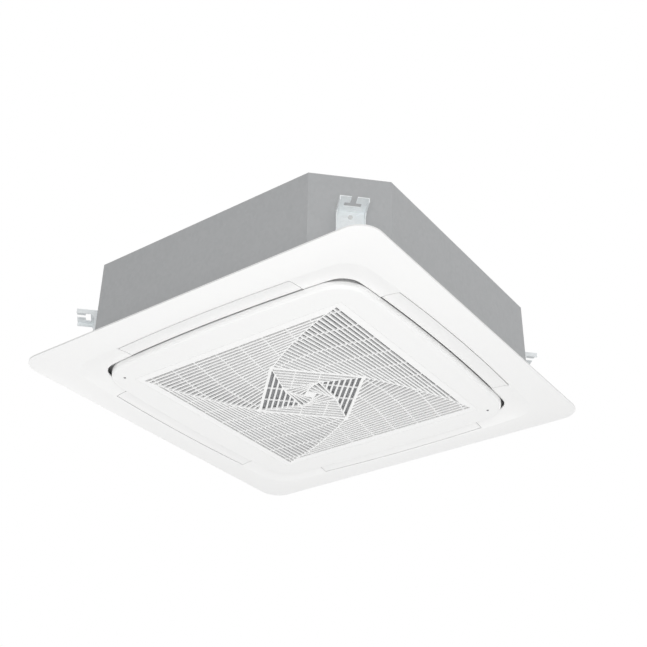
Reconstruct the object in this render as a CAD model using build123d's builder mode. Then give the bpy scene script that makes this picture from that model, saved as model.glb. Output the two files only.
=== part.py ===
from build123d import *
import math
import os

# Four-way ceiling cassette air conditioner, in millimetres.
# +Z is up. The origin is the centre of the ceiling opening, on the ceiling's lower face.
# -Y is the front of the panel, the side opposite the grille's hinge.

os.makedirs("parts", exist_ok=True)

# ---- Driving dimensions -------------------------------------------------------------------
# decorative panel
panel_width = 950.0
panel_corner = 52.0
rim_thickness = 3.5
shoulder_reach = 447.0
shoulder_depth = 7.4
crest_reach = 416.0
crest_corner = 62.0
crest_depth = 9.6
side_bow_radius = 4000.0
channel_reach = 410.0
channel_middle_reach = 388.0
channel_middle_depth = 5.4
valley_reach = 367.0
valley_corner = 70.0
valley_depth = 3.2
lip_reach = 359.0
lip_corner = 48.0
duct_reach = 352.0
duct_corner = 84.0
duct_wall = 3.0
outlet_reach = 405.5
outlet_length = 477.0
outer_wall_reach = 411.0
bearing_wall_start = 344.5
bearing_wall_rise = 9.0
shelf_bottom = -2.0
shelf_thickness = 3.0
return_opening = 610.0
return_corner_chamfer = 40.0
back_pocket_depth = 2.0
back_pocket_border = 10.0
rim_bays = 8
seal_thickness = 3.0
panel_screw_x = 327.0
panel_screw_y = 250.0
panel_screw_radius = 2.5
panel_screw_head = 3.5
panel_screw_tip = 36.5
panel_boss_wall = 4.0
seal_width = 5.0

# louvers
louver_thickness = 2.2
louver_outer_gap = 2.4
louver_inner_reach = 361.0
louver_end_gap = 1.6
louver_pivot_reach = 372.0
louver_pivot_height = 10.0
louver_pin_radius = 2.5
louver_pin_run = 4.5
louver_ear = 3.0
louver_ear_inward = 10.0
louver_ear_inward_z = -1.9
louver_ear_outward = 13.0
louver_ear_outward_z = -3.9
stepper_radius = 9.5
stepper_length = 15.0
stepper_tab_pitch = 26.0
stepper_tab_width = 6.0
stepper_tab_thickness = 1.5
stepper_plug_length = 12.0
stepper_plug_width = 7.0

# intake grille
grille_reach = 358.0
grille_corner = 75.0
grille_bottom = -18.5
grille_top = -3.5
grille_edge_round = 7.0
grille_wall = 2.5
grille_floor = 2.8
grille_floor_border = 6.0
insert_half = 288.0
insert_thickness = 5.0
insert_flange = 6.0
insert_play = 0.4
slat_thickness = 4.0
swirl_outer = 271.0
swirl_inner = 105.0
swirl_frame = 5.0
swirl_slats = 23
swirl_first_pitch = 10.2
swirl_last_pitch = 8.2
swirl_lean = math.radians(20.5)
swirl_lean_growth = 1.5
seam_radius = 1002.0
seam_distance = 883.6
seam_angle = math.radians(50.1)
rib_pitch = 64.6
rib_thickness = 2.6
rib_setback = 2.2
rib_reach = 5
pinwheel_pitch = 12.2
pinwheel_rib_low = -49.0
pinwheel_rib_high = 8.5
heart_half = 45.0
heart_inner = 11.0
heart_turn = math.radians(80.2)
heart_steps = 4
heart_twist = 0.54
smallest_gap = 5.0
lock_screw_place = 305.0
lock_screw_radius = 1.7
lock_screw_head = 3.0
lock_screw_head_height = 1.4
lock_screw_length = 7.5
lock_screw_sink = 2.0
lock_screw_slot = 0.8
lock_boss_radius = 5.0
lock_boss_height = 7.0

# hinge hooks and latches of the grille
hook_x = 90.0
hook_y = 343.5
hook_width = 12.0
hook_thickness = 3.4
hook_pivot_z = -7.0
hook_pin_radius = 2.0
hook_ear_radius = 4.0
hook_ear = 3.0
hook_travel = 20.0
hook_play = 0.6
hook_head = 3.2
hook_head_overhang = 4.0
hook_ear_play = 0.4
hook_notch_margin = 3.0
hook_notch_depth = 8.0
latch_x = 150.0
latch_y = -321.0
latch_half = 12.0
latch_length = 24.0
latch_thickness = 2.5
latch_tongue_width = 16.0
latch_travel = 6.0
latch_tongue_depth = 10.0
latch_tongue_thickness = 3.0
latch_grip_height = 6.0
latch_window_y = -324.5
latch_window_length = 17.0
latch_window_play = 2.0
rail_width = 3.0
rail_play = 0.3
rail_gap = 0.8
rail_lip = 2.0
rail_lip_thickness = 1.2

# filter
filter_half = 293.0
filter_bar = 11.0
filter_thickness = 6.5
filter_corner = 24.0
filter_mesh_thickness = 0.8
filter_mesh_lift = 2.7
filter_mesh_inset = 8.0
filter_groove_inset = 7.0
filter_rib_width = 4.0
filter_rib_height = 2.0
fence_gap = 1.5
fence_thickness = 2.0
fence_length = 24.0
fence_share = 0.6

# casing
body_width = 840.0
body_chamfer = 124.0
body_bottom = 24.0
body_height = 204.0
sheet = 1.2
casing_lip = 16.0
top_screw_inset = 6.0
top_screw_radius = 1.9
top_screw_length = 3.6
liner_thickness = 14.0
pan_height = 36.8
trough_inner = 284.0
trough_outer = 346.0
trough_corner = 30.0
trough_floor = 38.0
plug_x = -300.0
plug_y = 300.0
plug_radius = 8.0
pan_opening = 276.0
pan_outlet_outer = 404.0

# hanger brackets
hanger_flange_z = 137.0
hanger_width = 61.0
hanger_reach = 52.0
hanger_slot_offset = 26.5
hanger_slot_width = 12.0
hanger_slot_length = 35.0
hanger_mouth = 12.0
hanger_sheet = 2.0
hanger_cheek = 9.0
hanger_foot_z = 62.0
hanger_bolt_radius = 3.0
hanger_bolt_end = 7.0
hanger_bolt_places = [(0, 84.0), (0, 121.0)]

# fan and motor
fan_radius = 232.0
fan_inlet_radius = 163.0
fan_blades = 7
blade_sweep = 42.0
fan_back_z = 198.0
shroud_inlet_z = 72.0
shroud_rim_z = 98.0
fan_sheet = 3.0
hub_bottom_z = 116.0
hub_radius = 16.0
dome_floor_z = 129.0
shaft_radius = 5.0
shaft_bottom_z = 100.0
motor_radius = 62.0
motor_bottom_z = 144.0
motor_top_z = 198.0
motor_wall = 3.0
motor_foot = 3.0
motor_bolt_offset = 14.0
motor_bolt_radius = 3.0
bush_radius = 9.0
bearing_radius = 11.0
bearing_height = 7.0
rotor_radius = 28.0
rotor_bottom_z = 156.0
rotor_height = 27.0
stator_bottom_z = 152.0
stator_height = 34.0
bracket_bottom_z = 209.0
bracket_sheet = 2.4
bracket_margin = 14.0
bracket_flange = 18.0
bell_sheet = 2.5
bell_half = 290.0
bell_screw_x = 280.0
bell_screw_y = 190.0
bell_screw_radius = 1.9
bell_screw_length = 10.0
throat_radius = 155.0
flare_radius = 200.0
flare_bulge = 13.0
flare_drop = 8.0
throat_top_z = 80.0

# coil, pipes and drainage, all in the rear left corner
coil_outer = 340.0
coil_depth = 40.0
coil_bottom_z = 42.0
coil_top_z = 208.0
coil_bend_radius = 62.0
coil_end = 205.0
tube_radius = 3.5
tube_pitch = 21.0
tube_count = 8
end_plate_sheet = 2.0
bend_gap = 0.1
bend_leg = 7.0
gas_riser_radius = 9.0
liquid_riser_radius = 6.0
pipe_wall = 1.0
gas_pipe_radius = 7.94
liquid_pipe_radius = 4.76
gas_pipe_y = 243.0
liquid_pipe_y = 280.0
pipe_z = 105.0
pipe_tip = 470.0
pipe_stub_length = 23.0
pipe_swell = 0.4
pipe_window_length = 70.0
pipe_window_height = 58.0
nut_place = 446.0
nut_length = 22.0
gas_nut_flats = 29.0
liquid_nut_flats = 22.0
drain_x = -262.0
drain_z = 112.0
drain_port_radius = 16.0
drain_port_neck = 17.0
drain_tip = 466.0
spout_radius = 7.5
spout_tip = 352.0
hose_radius = 10.0
hose_end = 398.0
nipple_start = 380.0
pump_y = 312.0
pump_radius = 24.0
pump_top_z = 124.0
pump_height = 40.0
bracket_sheet_thin = 2.0
float_x = -318.0
float_y = 318.0
float_radius = 12.0
float_stem_radius = 3.0
float_low_z = 45.0
float_height = 14.0
float_collar = 3.0
float_travel = 8.0
float_edge_round = 1.5

# control box beside the fan's inlet
control_inner_x = -272.0
control_outer_x = -214.0
control_half = 150.0
control_sheet = 1.2
control_top_z = 70.0
board_length = 200.0
board_shift = 36.0
board_drop = 12.0
board_thickness = 1.6
control_flange = 4.0
lid_pressing_border = 7.0
lid_pressing_width = 2.0
terminal_y = -110.0
terminal_depth = 20.0
terminal_well = 8.0
grommet_y = -270.0
grommet_z = 90.0
grommet_neck = 11.0
grommet_bore = 8.0
grommet_relief = 1.5
grommet_relief_start = 0.5
grommet_collar = 4.0
grommet_flange = 6.0
grommet_lip = 3.0

# clearances
pin_clearance = 0.05
fit_clearance = 0.3

# ---- Values worked out from the driving dimensions ------------------------------------------
louver_outer_reach = outlet_reach - louver_outer_gap
louver_length = outlet_length - 2 * louver_end_gap
end_wall_y = outlet_length / 2 + duct_wall / 2
end_wall_face = end_wall_y + duct_wall / 2
louver_pin_tip = end_wall_face + louver_pin_run
shelf_top = shelf_bottom + shelf_thickness
pan_bottom = body_bottom + sheet
pan_top = pan_bottom + pan_height
outer_wall_top = body_bottom - seal_thickness
inner_wall_top = pan_bottom - seal_thickness
body_top = body_bottom + body_height
top_sheet_bottom = body_top - sheet
liner_top = top_sheet_bottom - sheet - top_screw_length / 2
liner_bottom = pan_top + fit_clearance
liner_ceiling = liner_top - liner_thickness
insert_top = grille_bottom + insert_thickness
floor_top = grille_bottom + grille_floor
filter_bottom = insert_top + fit_clearance
filter_mesh_z = filter_bottom + filter_mesh_lift
fence_reach = filter_half + fence_gap + fence_thickness / 2
hook_head_z = shelf_top + fit_clearance + hook_travel
swirl_rib_places = [place * rib_pitch for place in range(-rib_reach, rib_reach + 1)]
pinwheel_rib_places = [-swirl_outer, pinwheel_rib_low, pinwheel_rib_high, swirl_outer]
chamfer_distance = (body_width - body_chamfer) / math.sqrt(2)
rail_place = latch_half + rail_play + rail_width / 2
rail_middle_y = latch_y - latch_travel / 2
lip_place = latch_half + (rail_play + rail_width - rail_lip) / 2
lock_screw_places = [(-lock_screw_place, -lock_screw_place), (lock_screw_place, lock_screw_place)]
motor_bolt_ring = motor_radius + motor_bolt_offset
bracket_tray_radius = motor_bolt_ring + bracket_margin
bracket_radius = bracket_tray_radius + bracket_flange
dome_edge = motor_radius + 50


# ---- Outlines ------------------------------------------------------------------------------
def bowed_square(reach, corner):
    """Square with sides bowed outwards; reach is from the centre to the middle of a side."""
    rise = side_bow_radius - reach
    half = (math.sqrt(2 * side_bow_radius**2 - rise**2) - rise) / 2
    with BuildSketch() as outline:
        with BuildLine():
            ThreePointArc((-half, -half), (0, -reach), (half, -half))
            ThreePointArc((half, -half), (reach, 0), (half, half))
            ThreePointArc((half, half), (0, reach), (-half, half))
            ThreePointArc((-half, half), (-reach, 0), (-half, -half))
        make_face()
        if corner > 0:
            fillet(outline.vertices(), corner)
    return outline.sketch


def octagon(inset):
    """Outline of the casing, moved inwards by inset on all eight sides."""
    side = body_width - 2 * inset
    leg = body_chamfer - inset * (2 - math.sqrt(2))
    with BuildSketch() as outline:
        Rectangle(side, side)
        chamfer(outline.vertices(), leg)
    return outline.sketch


def outlet(inner, outer, length):
    """Bowed strip between two reaches on the +X side."""
    with BuildSketch() as outline:
        add(bowed_square(outer, 0))
        add(bowed_square(inner, 0), mode=Mode.SUBTRACT)
        with Locations(((inner + outer) / 2, 0)):
            Rectangle(4 * (outer - inner), length, mode=Mode.INTERSECT)
    with BuildSketch() as strip:
        add(outline.faces().sort_by(Axis.X)[-1])
    return strip.sketch


def channel_form(lift):
    """Solid that fills the recessed channel round the grille, raised by lift."""
    with BuildPart() as form:
        with BuildSketch(Plane.XY.offset(lift - crest_depth - rim_thickness)):
            add(bowed_square(channel_reach + 4 * rim_thickness, crest_corner))
        with BuildSketch(Plane.XY.offset(lift - crest_depth)):
            add(bowed_square(channel_reach, crest_corner))
        with BuildSketch(Plane.XY.offset(lift - channel_middle_depth)):
            add(bowed_square(channel_middle_reach, (crest_corner + valley_corner) / 2))
        with BuildSketch(Plane.XY.offset(lift - valley_depth)):
            add(bowed_square(valley_reach, valley_corner))
        loft()
    return form.part


def save(piece, name):
    """Write one finished piece to its own file."""
    piece.label = name
    export_step(piece, f"parts/{name}.step")


# ---- Decorative panel ------------------------------------------------------------------------
channel = channel_form(0)

with BuildPart() as panel_frame:
    # rim and the face that swells down towards the outlets
    with BuildSketch():
        RectangleRounded(panel_width, panel_width, panel_corner)
    extrude(amount=-rim_thickness)
    with BuildSketch(Plane.XY.offset(-rim_thickness)):
        RectangleRounded(panel_width, panel_width, panel_corner)
    with BuildSketch(Plane.XY.offset(-shoulder_depth)):
        RectangleRounded(2 * shoulder_reach, 2 * shoulder_reach, panel_corner)
    with BuildSketch(Plane.XY.offset(-crest_depth)):
        add(bowed_square(crest_reach, crest_corner))
    loft()
    add(channel, mode=Mode.SUBTRACT)
    # ring opening round the grille, and the four outlets
    with BuildSketch():
        add(bowed_square(lip_reach, lip_corner))
        with PolarLocations(0, 4):
            add(outlet(duct_reach, outlet_reach, outlet_length))
    extrude(amount=2 * crest_depth, both=True, mode=Mode.SUBTRACT)
    # pockets that lighten the back of the rim, with ribs between them
    with BuildSketch():
        pocket_width = panel_width - 2 * back_pocket_border
        RectangleRounded(pocket_width, pocket_width, panel_corner - back_pocket_border)
        Rectangle(body_width, body_width, mode=Mode.SUBTRACT)
        for bay in range(1 - rim_bays // 2, rim_bays // 2):
            rib_place = bay * panel_width / rim_bays
            with Locations((rib_place, 0), (0, rib_place)):
                Rectangle(duct_wall, panel_width, mode=Mode.SUBTRACT)
                Rectangle(panel_width, duct_wall, mode=Mode.SUBTRACT)
    extrude(amount=-back_pocket_depth, mode=Mode.SUBTRACT)
    # upright duct walls and the bearing walls at the louvers' ends
    with BuildSketch(Plane.XY.offset(-1)):
        add(octagon(body_width / 2 - outer_wall_reach))
        add(octagon(body_width / 2 - outer_wall_reach + duct_wall), mode=Mode.SUBTRACT)
    extrude(amount=outer_wall_top + 1)
    with BuildSketch(Plane.XY.offset(shelf_bottom)):
        add(bowed_square(duct_reach, duct_corner))
        add(bowed_square(duct_reach - duct_wall, duct_corner - duct_wall), mode=Mode.SUBTRACT)
    extrude(amount=inner_wall_top - shelf_bottom)
    with BuildSketch(Plane.XY.offset(-1)):
        with PolarLocations(0, 4):
            with Locations(
                ((bearing_wall_start + outer_wall_reach - 1) / 2, end_wall_y),
                ((bearing_wall_start + outer_wall_reach - 1) / 2, -end_wall_y),
            ):
                Rectangle(outer_wall_reach - 1 - bearing_wall_start, duct_wall)
    extrude(amount=louver_pivot_height + bearing_wall_rise)
    # shelf that frames the return opening
    with BuildSketch(Plane.XY.offset(shelf_bottom)):
        add(bowed_square(duct_reach - duct_wall / 2, duct_corner))
        with BuildSketch(mode=Mode.SUBTRACT) as hatch:
            Rectangle(return_opening, return_opening)
            chamfer(hatch.vertices(), return_corner_chamfer)
    extrude(amount=shelf_thickness)
    # screw bosses
    with BuildSketch(Plane.XY.offset(shelf_bottom)):
        with GridLocations(2 * panel_screw_x, 2 * panel_screw_y, 2, 2):
            Circle(panel_screw_radius + panel_boss_wall)
    extrude(amount=inner_wall_top - shelf_bottom)
    with BuildSketch(Plane.XY.offset(shelf_bottom)):
        with GridLocations(2 * panel_screw_x, 2 * panel_screw_y, 2, 2):
            Circle(panel_screw_radius + fit_clearance)
        with GridLocations(2 * hook_x, 1, 2, 1):
            with Locations((0, hook_y)):
                Rectangle(hook_width + 2 * hook_play, hook_thickness + 2 * hook_play)
        with GridLocations(2 * latch_x, 1, 2, 1):
            with Locations((0, latch_window_y)):
                Rectangle(latch_tongue_width + 2 * latch_window_play, latch_window_length)
    extrude(amount=inner_wall_top - shelf_bottom, mode=Mode.SUBTRACT)
    # bearing holes of the louvers
    with BuildSketch(Plane.XZ):
        for side in (-1, 1):
            with Locations((side * louver_pivot_reach, louver_pivot_height)):
                Circle(louver_pin_radius + pin_clearance)
    extrude(amount=end_wall_y + duct_wall, both=True, mode=Mode.SUBTRACT)
    with BuildSketch(Plane.YZ):
        for side in (-1, 1):
            with Locations((side * louver_pivot_reach, louver_pivot_height)):
                Circle(louver_pin_radius + pin_clearance)
    extrude(amount=end_wall_y + duct_wall, both=True, mode=Mode.SUBTRACT)
save(panel_frame.part, "panel_frame")

# ---- Panel seals and screws ------------------------------------------------------------------
with BuildPart() as panel_seals:
    with BuildSketch(Plane.XY.offset(outer_wall_top)):
        add(octagon(body_width / 2 - outer_wall_reach))
        add(octagon(body_width / 2 - outer_wall_reach + 2 * duct_wall), mode=Mode.SUBTRACT)
    extrude(amount=seal_thickness)
    with BuildSketch(Plane.XY.offset(inner_wall_top)):
        add(bowed_square(duct_reach, duct_corner))
        add(bowed_square(duct_reach - seal_width, duct_corner - seal_width), mode=Mode.SUBTRACT)
    extrude(amount=seal_thickness)
save(panel_seals.part, "panel_seals")

with BuildPart() as panel_screws:
    with BuildSketch(Plane.XY.offset(shelf_bottom)):
        with GridLocations(2 * panel_screw_x, 2 * panel_screw_y, 2, 2):
            Circle(2 * panel_screw_radius)
    extrude(amount=-panel_screw_head)
    with BuildSketch(Plane.XY.offset(shelf_bottom)):
        with GridLocations(2 * panel_screw_x, 2 * panel_screw_y, 2, 2):
            Circle(panel_screw_radius)
    extrude(amount=panel_screw_tip - shelf_bottom)
    with BuildSketch(Plane.XY.offset(shelf_bottom - panel_screw_head)):
        with GridLocations(2 * panel_screw_x, 2 * panel_screw_y, 2, 2):
            Rectangle(panel_screw_radius * 2.4, 1)
            Rectangle(1, panel_screw_radius * 2.4)
    extrude(amount=panel_screw_head / 2, mode=Mode.SUBTRACT)
save(panel_screws.part, "panel_screws")

# ---- Louvers and their stepper motors ----------------------------------------------------------
with BuildPart() as louver_end:
    # ear that stands up from the louver's skin, and the pin it turns on
    with BuildSketch(Plane.XZ.offset(louver_length / 2)):
        with Locations((louver_pivot_reach, louver_pivot_height)):
            Circle(2 * louver_pin_radius)
        with BuildLine():
            Polyline(
                (louver_pivot_reach - louver_ear_inward, louver_ear_inward_z),
                (louver_pivot_reach + louver_ear_outward, louver_ear_outward_z),
                (louver_pivot_reach + 2 * louver_pin_radius, louver_pivot_height),
                (louver_pivot_reach - 2 * louver_pin_radius, louver_pivot_height),
                close=True,
            )
        make_face()
    extrude(amount=-louver_ear)
    with BuildSketch(Plane.XZ.offset(louver_pin_tip)):
        with Locations((louver_pivot_reach, louver_pivot_height)):
            Circle(louver_pin_radius)
    extrude(amount=louver_length / 2 - louver_pin_tip)

with BuildPart() as louver:
    # skin that continues the surface of the channel
    add(channel_form(louver_thickness))
    add(channel, mode=Mode.SUBTRACT)
    with BuildSketch(Plane.XY.offset(-2 * crest_depth)):
        add(outlet(louver_inner_reach, louver_outer_reach, louver_length))
    extrude(amount=2 * crest_depth, mode=Mode.INTERSECT)
    add(louver_end.part)
    add(louver_end.part.mirror(Plane.XZ))

with BuildPart() as stepper:
    with BuildSketch(Plane.XZ.offset(end_wall_face)):
        with Locations((louver_pivot_reach, louver_pivot_height)):
            Circle(stepper_radius)
    extrude(amount=stepper_length)
    with BuildSketch(Plane.XZ.offset(end_wall_face)):
        with Locations((louver_pivot_reach, louver_pivot_height)):
            SlotCenterToCenter(stepper_tab_pitch, stepper_tab_width)
            with GridLocations(stepper_tab_pitch, 1, 2, 1):
                Circle(stepper_tab_width / 4, mode=Mode.SUBTRACT)
    extrude(amount=stepper_tab_thickness)
    with BuildSketch(Plane.XZ.offset(end_wall_face)):
        with Locations((louver_pivot_reach, louver_pivot_height)):
            Circle(louver_pin_radius + pin_clearance)
    extrude(amount=louver_pin_run + fit_clearance, mode=Mode.SUBTRACT)
    # plug for the motor's wires
    with BuildSketch(Plane.XY.offset(louver_pivot_height + stepper_radius / 2)):
        with Locations((louver_pivot_reach, -end_wall_face - stepper_length / 2)):
            Rectangle(stepper_plug_length, stepper_plug_width)
    extrude(amount=stepper_radius / 2 + stepper_tab_thickness)

for side_name, turn in (("right", 0), ("rear", 90), ("left", 180), ("front", 270)):
    save(louver.part.rotate(Axis.Z, turn), f"louver_{side_name}")
    save(stepper.part.rotate(Axis.Z, turn), f"louver_motor_{side_name}")

# ---- Intake grille frame -----------------------------------------------------------------------
with BuildPart() as grille_frame:
    with BuildSketch(Plane.XY.offset(grille_bottom)):
        add(bowed_square(grille_reach, grille_corner))
    extrude(amount=grille_top - grille_bottom)
    fillet(grille_frame.faces().sort_by(Axis.Z)[0].edges(), grille_edge_round)
    # hollow back, narrower at the floor where the edge is rounded
    with BuildSketch(Plane.XY.offset(floor_top)):
        add(bowed_square(grille_reach - grille_floor_border, grille_corner - grille_floor_border))
    extrude(amount=grille_wall + 2, mode=Mode.SUBTRACT)
    with BuildSketch(Plane.XY.offset(grille_bottom + grille_edge_round)):
        add(bowed_square(grille_reach - grille_wall, grille_corner - grille_wall))
    extrude(amount=grille_top - grille_bottom, mode=Mode.SUBTRACT)
    with BuildSketch(Plane.XY.offset(grille_bottom)):
        Rectangle(2 * (insert_half + insert_play), 2 * (insert_half + insert_play))
    extrude(amount=2 * grille_floor, mode=Mode.SUBTRACT)
    # fences that keep the filter in place
    with BuildSketch(Plane.XY.offset(floor_top)):
        with PolarLocations(0, 4):
            for place in (-fence_share, fence_share):
                with Locations((fence_reach, place * fence_reach)):
                    Rectangle(fence_thickness, fence_length)
    extrude(amount=filter_thickness)
    # ears for the hinge pins
    for side in (-1, 1):
        for edge in (-1, 1):
            ear_face = side * hook_x + edge * (hook_width / 2 + hook_ear_play)
            with BuildSketch(Plane.YZ.offset(ear_face)):
                with Locations((hook_y, hook_pivot_z)):
                    Circle(hook_ear_radius)
                with Locations((hook_y, (hook_pivot_z + floor_top) / 2)):
                    Rectangle(2 * hook_ear_radius, hook_pivot_z - floor_top)
                with Locations((hook_y, hook_pivot_z)):
                    Circle(hook_pin_radius + pin_clearance, mode=Mode.SUBTRACT)
            extrude(amount=edge * hook_ear)
    # notches in the rear wall that let it swing past the hooks
    with BuildSketch(Plane.XY.offset(hook_pivot_z - hook_ear_radius)):
        with GridLocations(2 * hook_x, 1, 2, 1):
            with Locations((0, grille_reach)):
                Rectangle(hook_width + 2 * hook_notch_margin, 2 * hook_notch_depth)
    extrude(amount=grille_top - grille_bottom, mode=Mode.SUBTRACT)
    # rails for the two latches
    with BuildSketch(Plane.XY.offset(floor_top)):
        with GridLocations(2 * latch_x, 1, 2, 1):
            with Locations((-rail_place, rail_middle_y), (rail_place, rail_middle_y)):
                Rectangle(rail_width, latch_length + latch_travel)
    extrude(amount=latch_thickness + rail_gap + rail_lip_thickness)
    with BuildSketch(Plane.XY.offset(floor_top + latch_thickness + rail_gap)):
        with GridLocations(2 * latch_x, 1, 2, 1):
            with Locations((-lip_place, rail_middle_y), (lip_place, rail_middle_y)):
                Rectangle(rail_lip + rail_play + rail_width, latch_length + latch_travel)
    extrude(amount=rail_lip_thickness)
    # bosses and sunk holes for the lock screws
    with BuildSketch(Plane.XY.offset(floor_top)):
        with Locations(*lock_screw_places):
            Circle(lock_boss_radius)
    extrude(amount=lock_boss_height)
    with BuildSketch(Plane.XY.offset(grille_bottom)):
        with Locations(*lock_screw_places):
            Circle(lock_screw_head + fit_clearance)
    extrude(amount=lock_screw_sink, mode=Mode.SUBTRACT)
    with BuildSketch(Plane.XY.offset(grille_bottom)):
        with Locations(*lock_screw_places):
            Circle(lock_screw_radius + pin_clearance)
    extrude(amount=grille_floor + lock_boss_height, mode=Mode.SUBTRACT)
save(grille_frame.part, "grille_frame")

with BuildPart() as grille_lock_screws:
    with BuildSketch(Plane.XY.offset(grille_bottom + lock_screw_sink)):
        with Locations(*lock_screw_places):
            Circle(lock_screw_head)
    extrude(amount=-lock_screw_head_height)
    with BuildSketch(Plane.XY.offset(grille_bottom + lock_screw_sink)):
        with Locations(*lock_screw_places):
            Circle(lock_screw_radius)
    extrude(amount=lock_screw_length)
    with BuildSketch(Plane.XY.offset(grille_bottom + lock_screw_sink - lock_screw_head_height)):
        with Locations(*lock_screw_places):
            Rectangle(1.2 * lock_screw_head, lock_screw_slot)
            Rectangle(lock_screw_slot, 1.2 * lock_screw_head)
    extrude(amount=lock_screw_slot, mode=Mode.SUBTRACT)
save(grille_lock_screws.part, "grille_lock_screws")


# ---- Slatted insert of the grille ----------------------------------------------------------------
def clip(polygon, normal, limit):
    """Part of a convex polygon where normal . point is at most limit."""
    kept = []
    for start, end in zip(polygon, polygon[1:] + polygon[:1]):
        depth = normal[0] * start[0] + normal[1] * start[1] - limit
        next_depth = normal[0] * end[0] + normal[1] * end[1] - limit
        if depth <= 0:
            kept.append(start)
        if depth * next_depth < 0:
            share = depth / (depth - next_depth)
            kept.append(
                (start[0] + share * (end[0] - start[0]), start[1] + share * (end[1] - start[1]))
            )
    return kept


def area(polygon):
    """Area of a polygon given by its corners in order."""
    crossed = (a[0] * b[1] - b[0] * a[1] for a, b in zip(polygon, polygon[1:] + polygon[:1]))
    return abs(sum(crossed)) / 2


def polar(radius, angle):
    """Point at a distance and an angle from the centre."""
    return (radius * math.cos(angle), radius * math.sin(angle))


def right_of(start, end, inset):
    """Half-plane on the right of a line, moved away from the line by inset."""
    length = math.dist(start, end)
    normal = ((start[1] - end[1]) / length, (end[0] - start[0]) / length)
    return normal, normal[0] * start[0] + normal[1] * start[1] - inset


def between_ribs(polygon, along, places):
    """Pieces of a gap between slats, parted by ribs that stand across the slats."""
    pieces = []
    for low, high in zip(places, places[1:]):
        piece = clip(polygon, along, high - rib_thickness / 2)
        piece = clip(piece, (-along[0], -along[1]), -(low + rib_thickness / 2))
        if len(piece) > 2 and area(piece) > smallest_gap:
            pieces.append(piece)
    return pieces


def field(polygon_reach):
    """Square that is larger than the pattern, to be clipped down to one gap."""
    return [
        (-polygon_reach, -polygon_reach),
        (polygon_reach, -polygon_reach),
        (polygon_reach, polygon_reach),
        (-polygon_reach, polygon_reach),
    ]


def swirl_line(step):
    """Distance from the centre and lean of a slat's middle line in the wide outer fields."""
    half = swirl_outer - swirl_first_pitch * step
    half += (swirl_first_pitch - swirl_last_pitch) * step**2 / (2 * swirl_slats)
    return half, swirl_lean * (step / swirl_slats) ** swirl_lean_growth


def seam_side(half, lean, turn, side):
    """Half-plane that ends a gap at the curved seam between two fields."""
    foot, along = polar(half, -lean), polar(1, math.pi / 2 - lean)
    centre = polar(seam_distance, seam_angle + turn)
    away = (foot[0] - centre[0], foot[1] - centre[1])
    back = away[0] * along[0] + away[1] * along[1]
    reach = -back - math.sqrt(back**2 + seam_radius**2 - away[0] ** 2 - away[1] ** 2)
    point = (foot[0] + reach * along[0], foot[1] + reach * along[1])
    normal = (
        side * (point[0] - centre[0]) / seam_radius,
        side * (point[1] - centre[1]) / seam_radius,
    )
    return normal, normal[0] * point[0] + normal[1] * point[1] - rib_thickness / 2


def swirl_gaps():
    """Gaps of one of the four wide fields, whose slats lean more and more towards the middle,
    and the holes that are left of them between the ribs."""
    gaps, holes = [], []
    for step in range(swirl_slats):
        half, lean = swirl_line(step)
        next_half, next_lean = swirl_line(step + 1)
        middle_half, middle_lean = swirl_line(step + 0.5)
        gap = clip(field(2 * swirl_outer), polar(1, -lean), half - slat_thickness / 2)
        gap = clip(gap, polar(-1, -next_lean), -next_half - slat_thickness / 2)
        gap = clip(gap, *seam_side(middle_half, middle_lean, 0, 1))
        # the inner slats end at the frame of the middle square, the others at the next seam
        frame_corner = math.sqrt(2) * (swirl_inner + swirl_frame)
        if middle_half < frame_corner * math.cos(middle_lean):
            gap = clip(gap, polar(-1, -math.pi / 4), -swirl_inner - swirl_frame)
        else:
            gap = clip(gap, *seam_side(middle_half, middle_lean, math.pi / 2, -1))
        gaps.append(gap)
        holes += between_ribs(gap, polar(1, math.pi / 2 - middle_lean), swirl_rib_places)
    return gaps, holes


def heart_gaps():
    """Gaps of one quarter of the nest of turning squares in the middle."""
    quarter = math.pi / 4
    squares = []
    for step in range(heart_steps + 1):
        half = heart_half + (heart_inner - heart_half) * step / heart_steps
        squares.append((half, -heart_turn - heart_twist * math.log(heart_half / half)))
    gaps = []
    for (half, angle), (next_half, next_angle) in zip(squares, squares[1:]):
        corner = math.sqrt(2) * half
        next_corner = math.sqrt(2) * next_half
        gap = clip(field(2 * heart_half), polar(1, angle), half - slat_thickness / 2)
        gap = clip(gap, polar(-1, next_angle), -next_half - slat_thickness / 2)
        low_edge = (polar(corner, angle - quarter), polar(next_corner, next_angle - quarter))
        high_edge = (polar(next_corner, next_angle + quarter), polar(corner, angle + quarter))
        for start, end in (low_edge, high_edge):
            gap = clip(gap, *right_of(start, end, rib_thickness / 2))
        if len(gap) > 2 and area(gap) > smallest_gap:
            gaps.append(gap)
    return gaps


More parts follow.
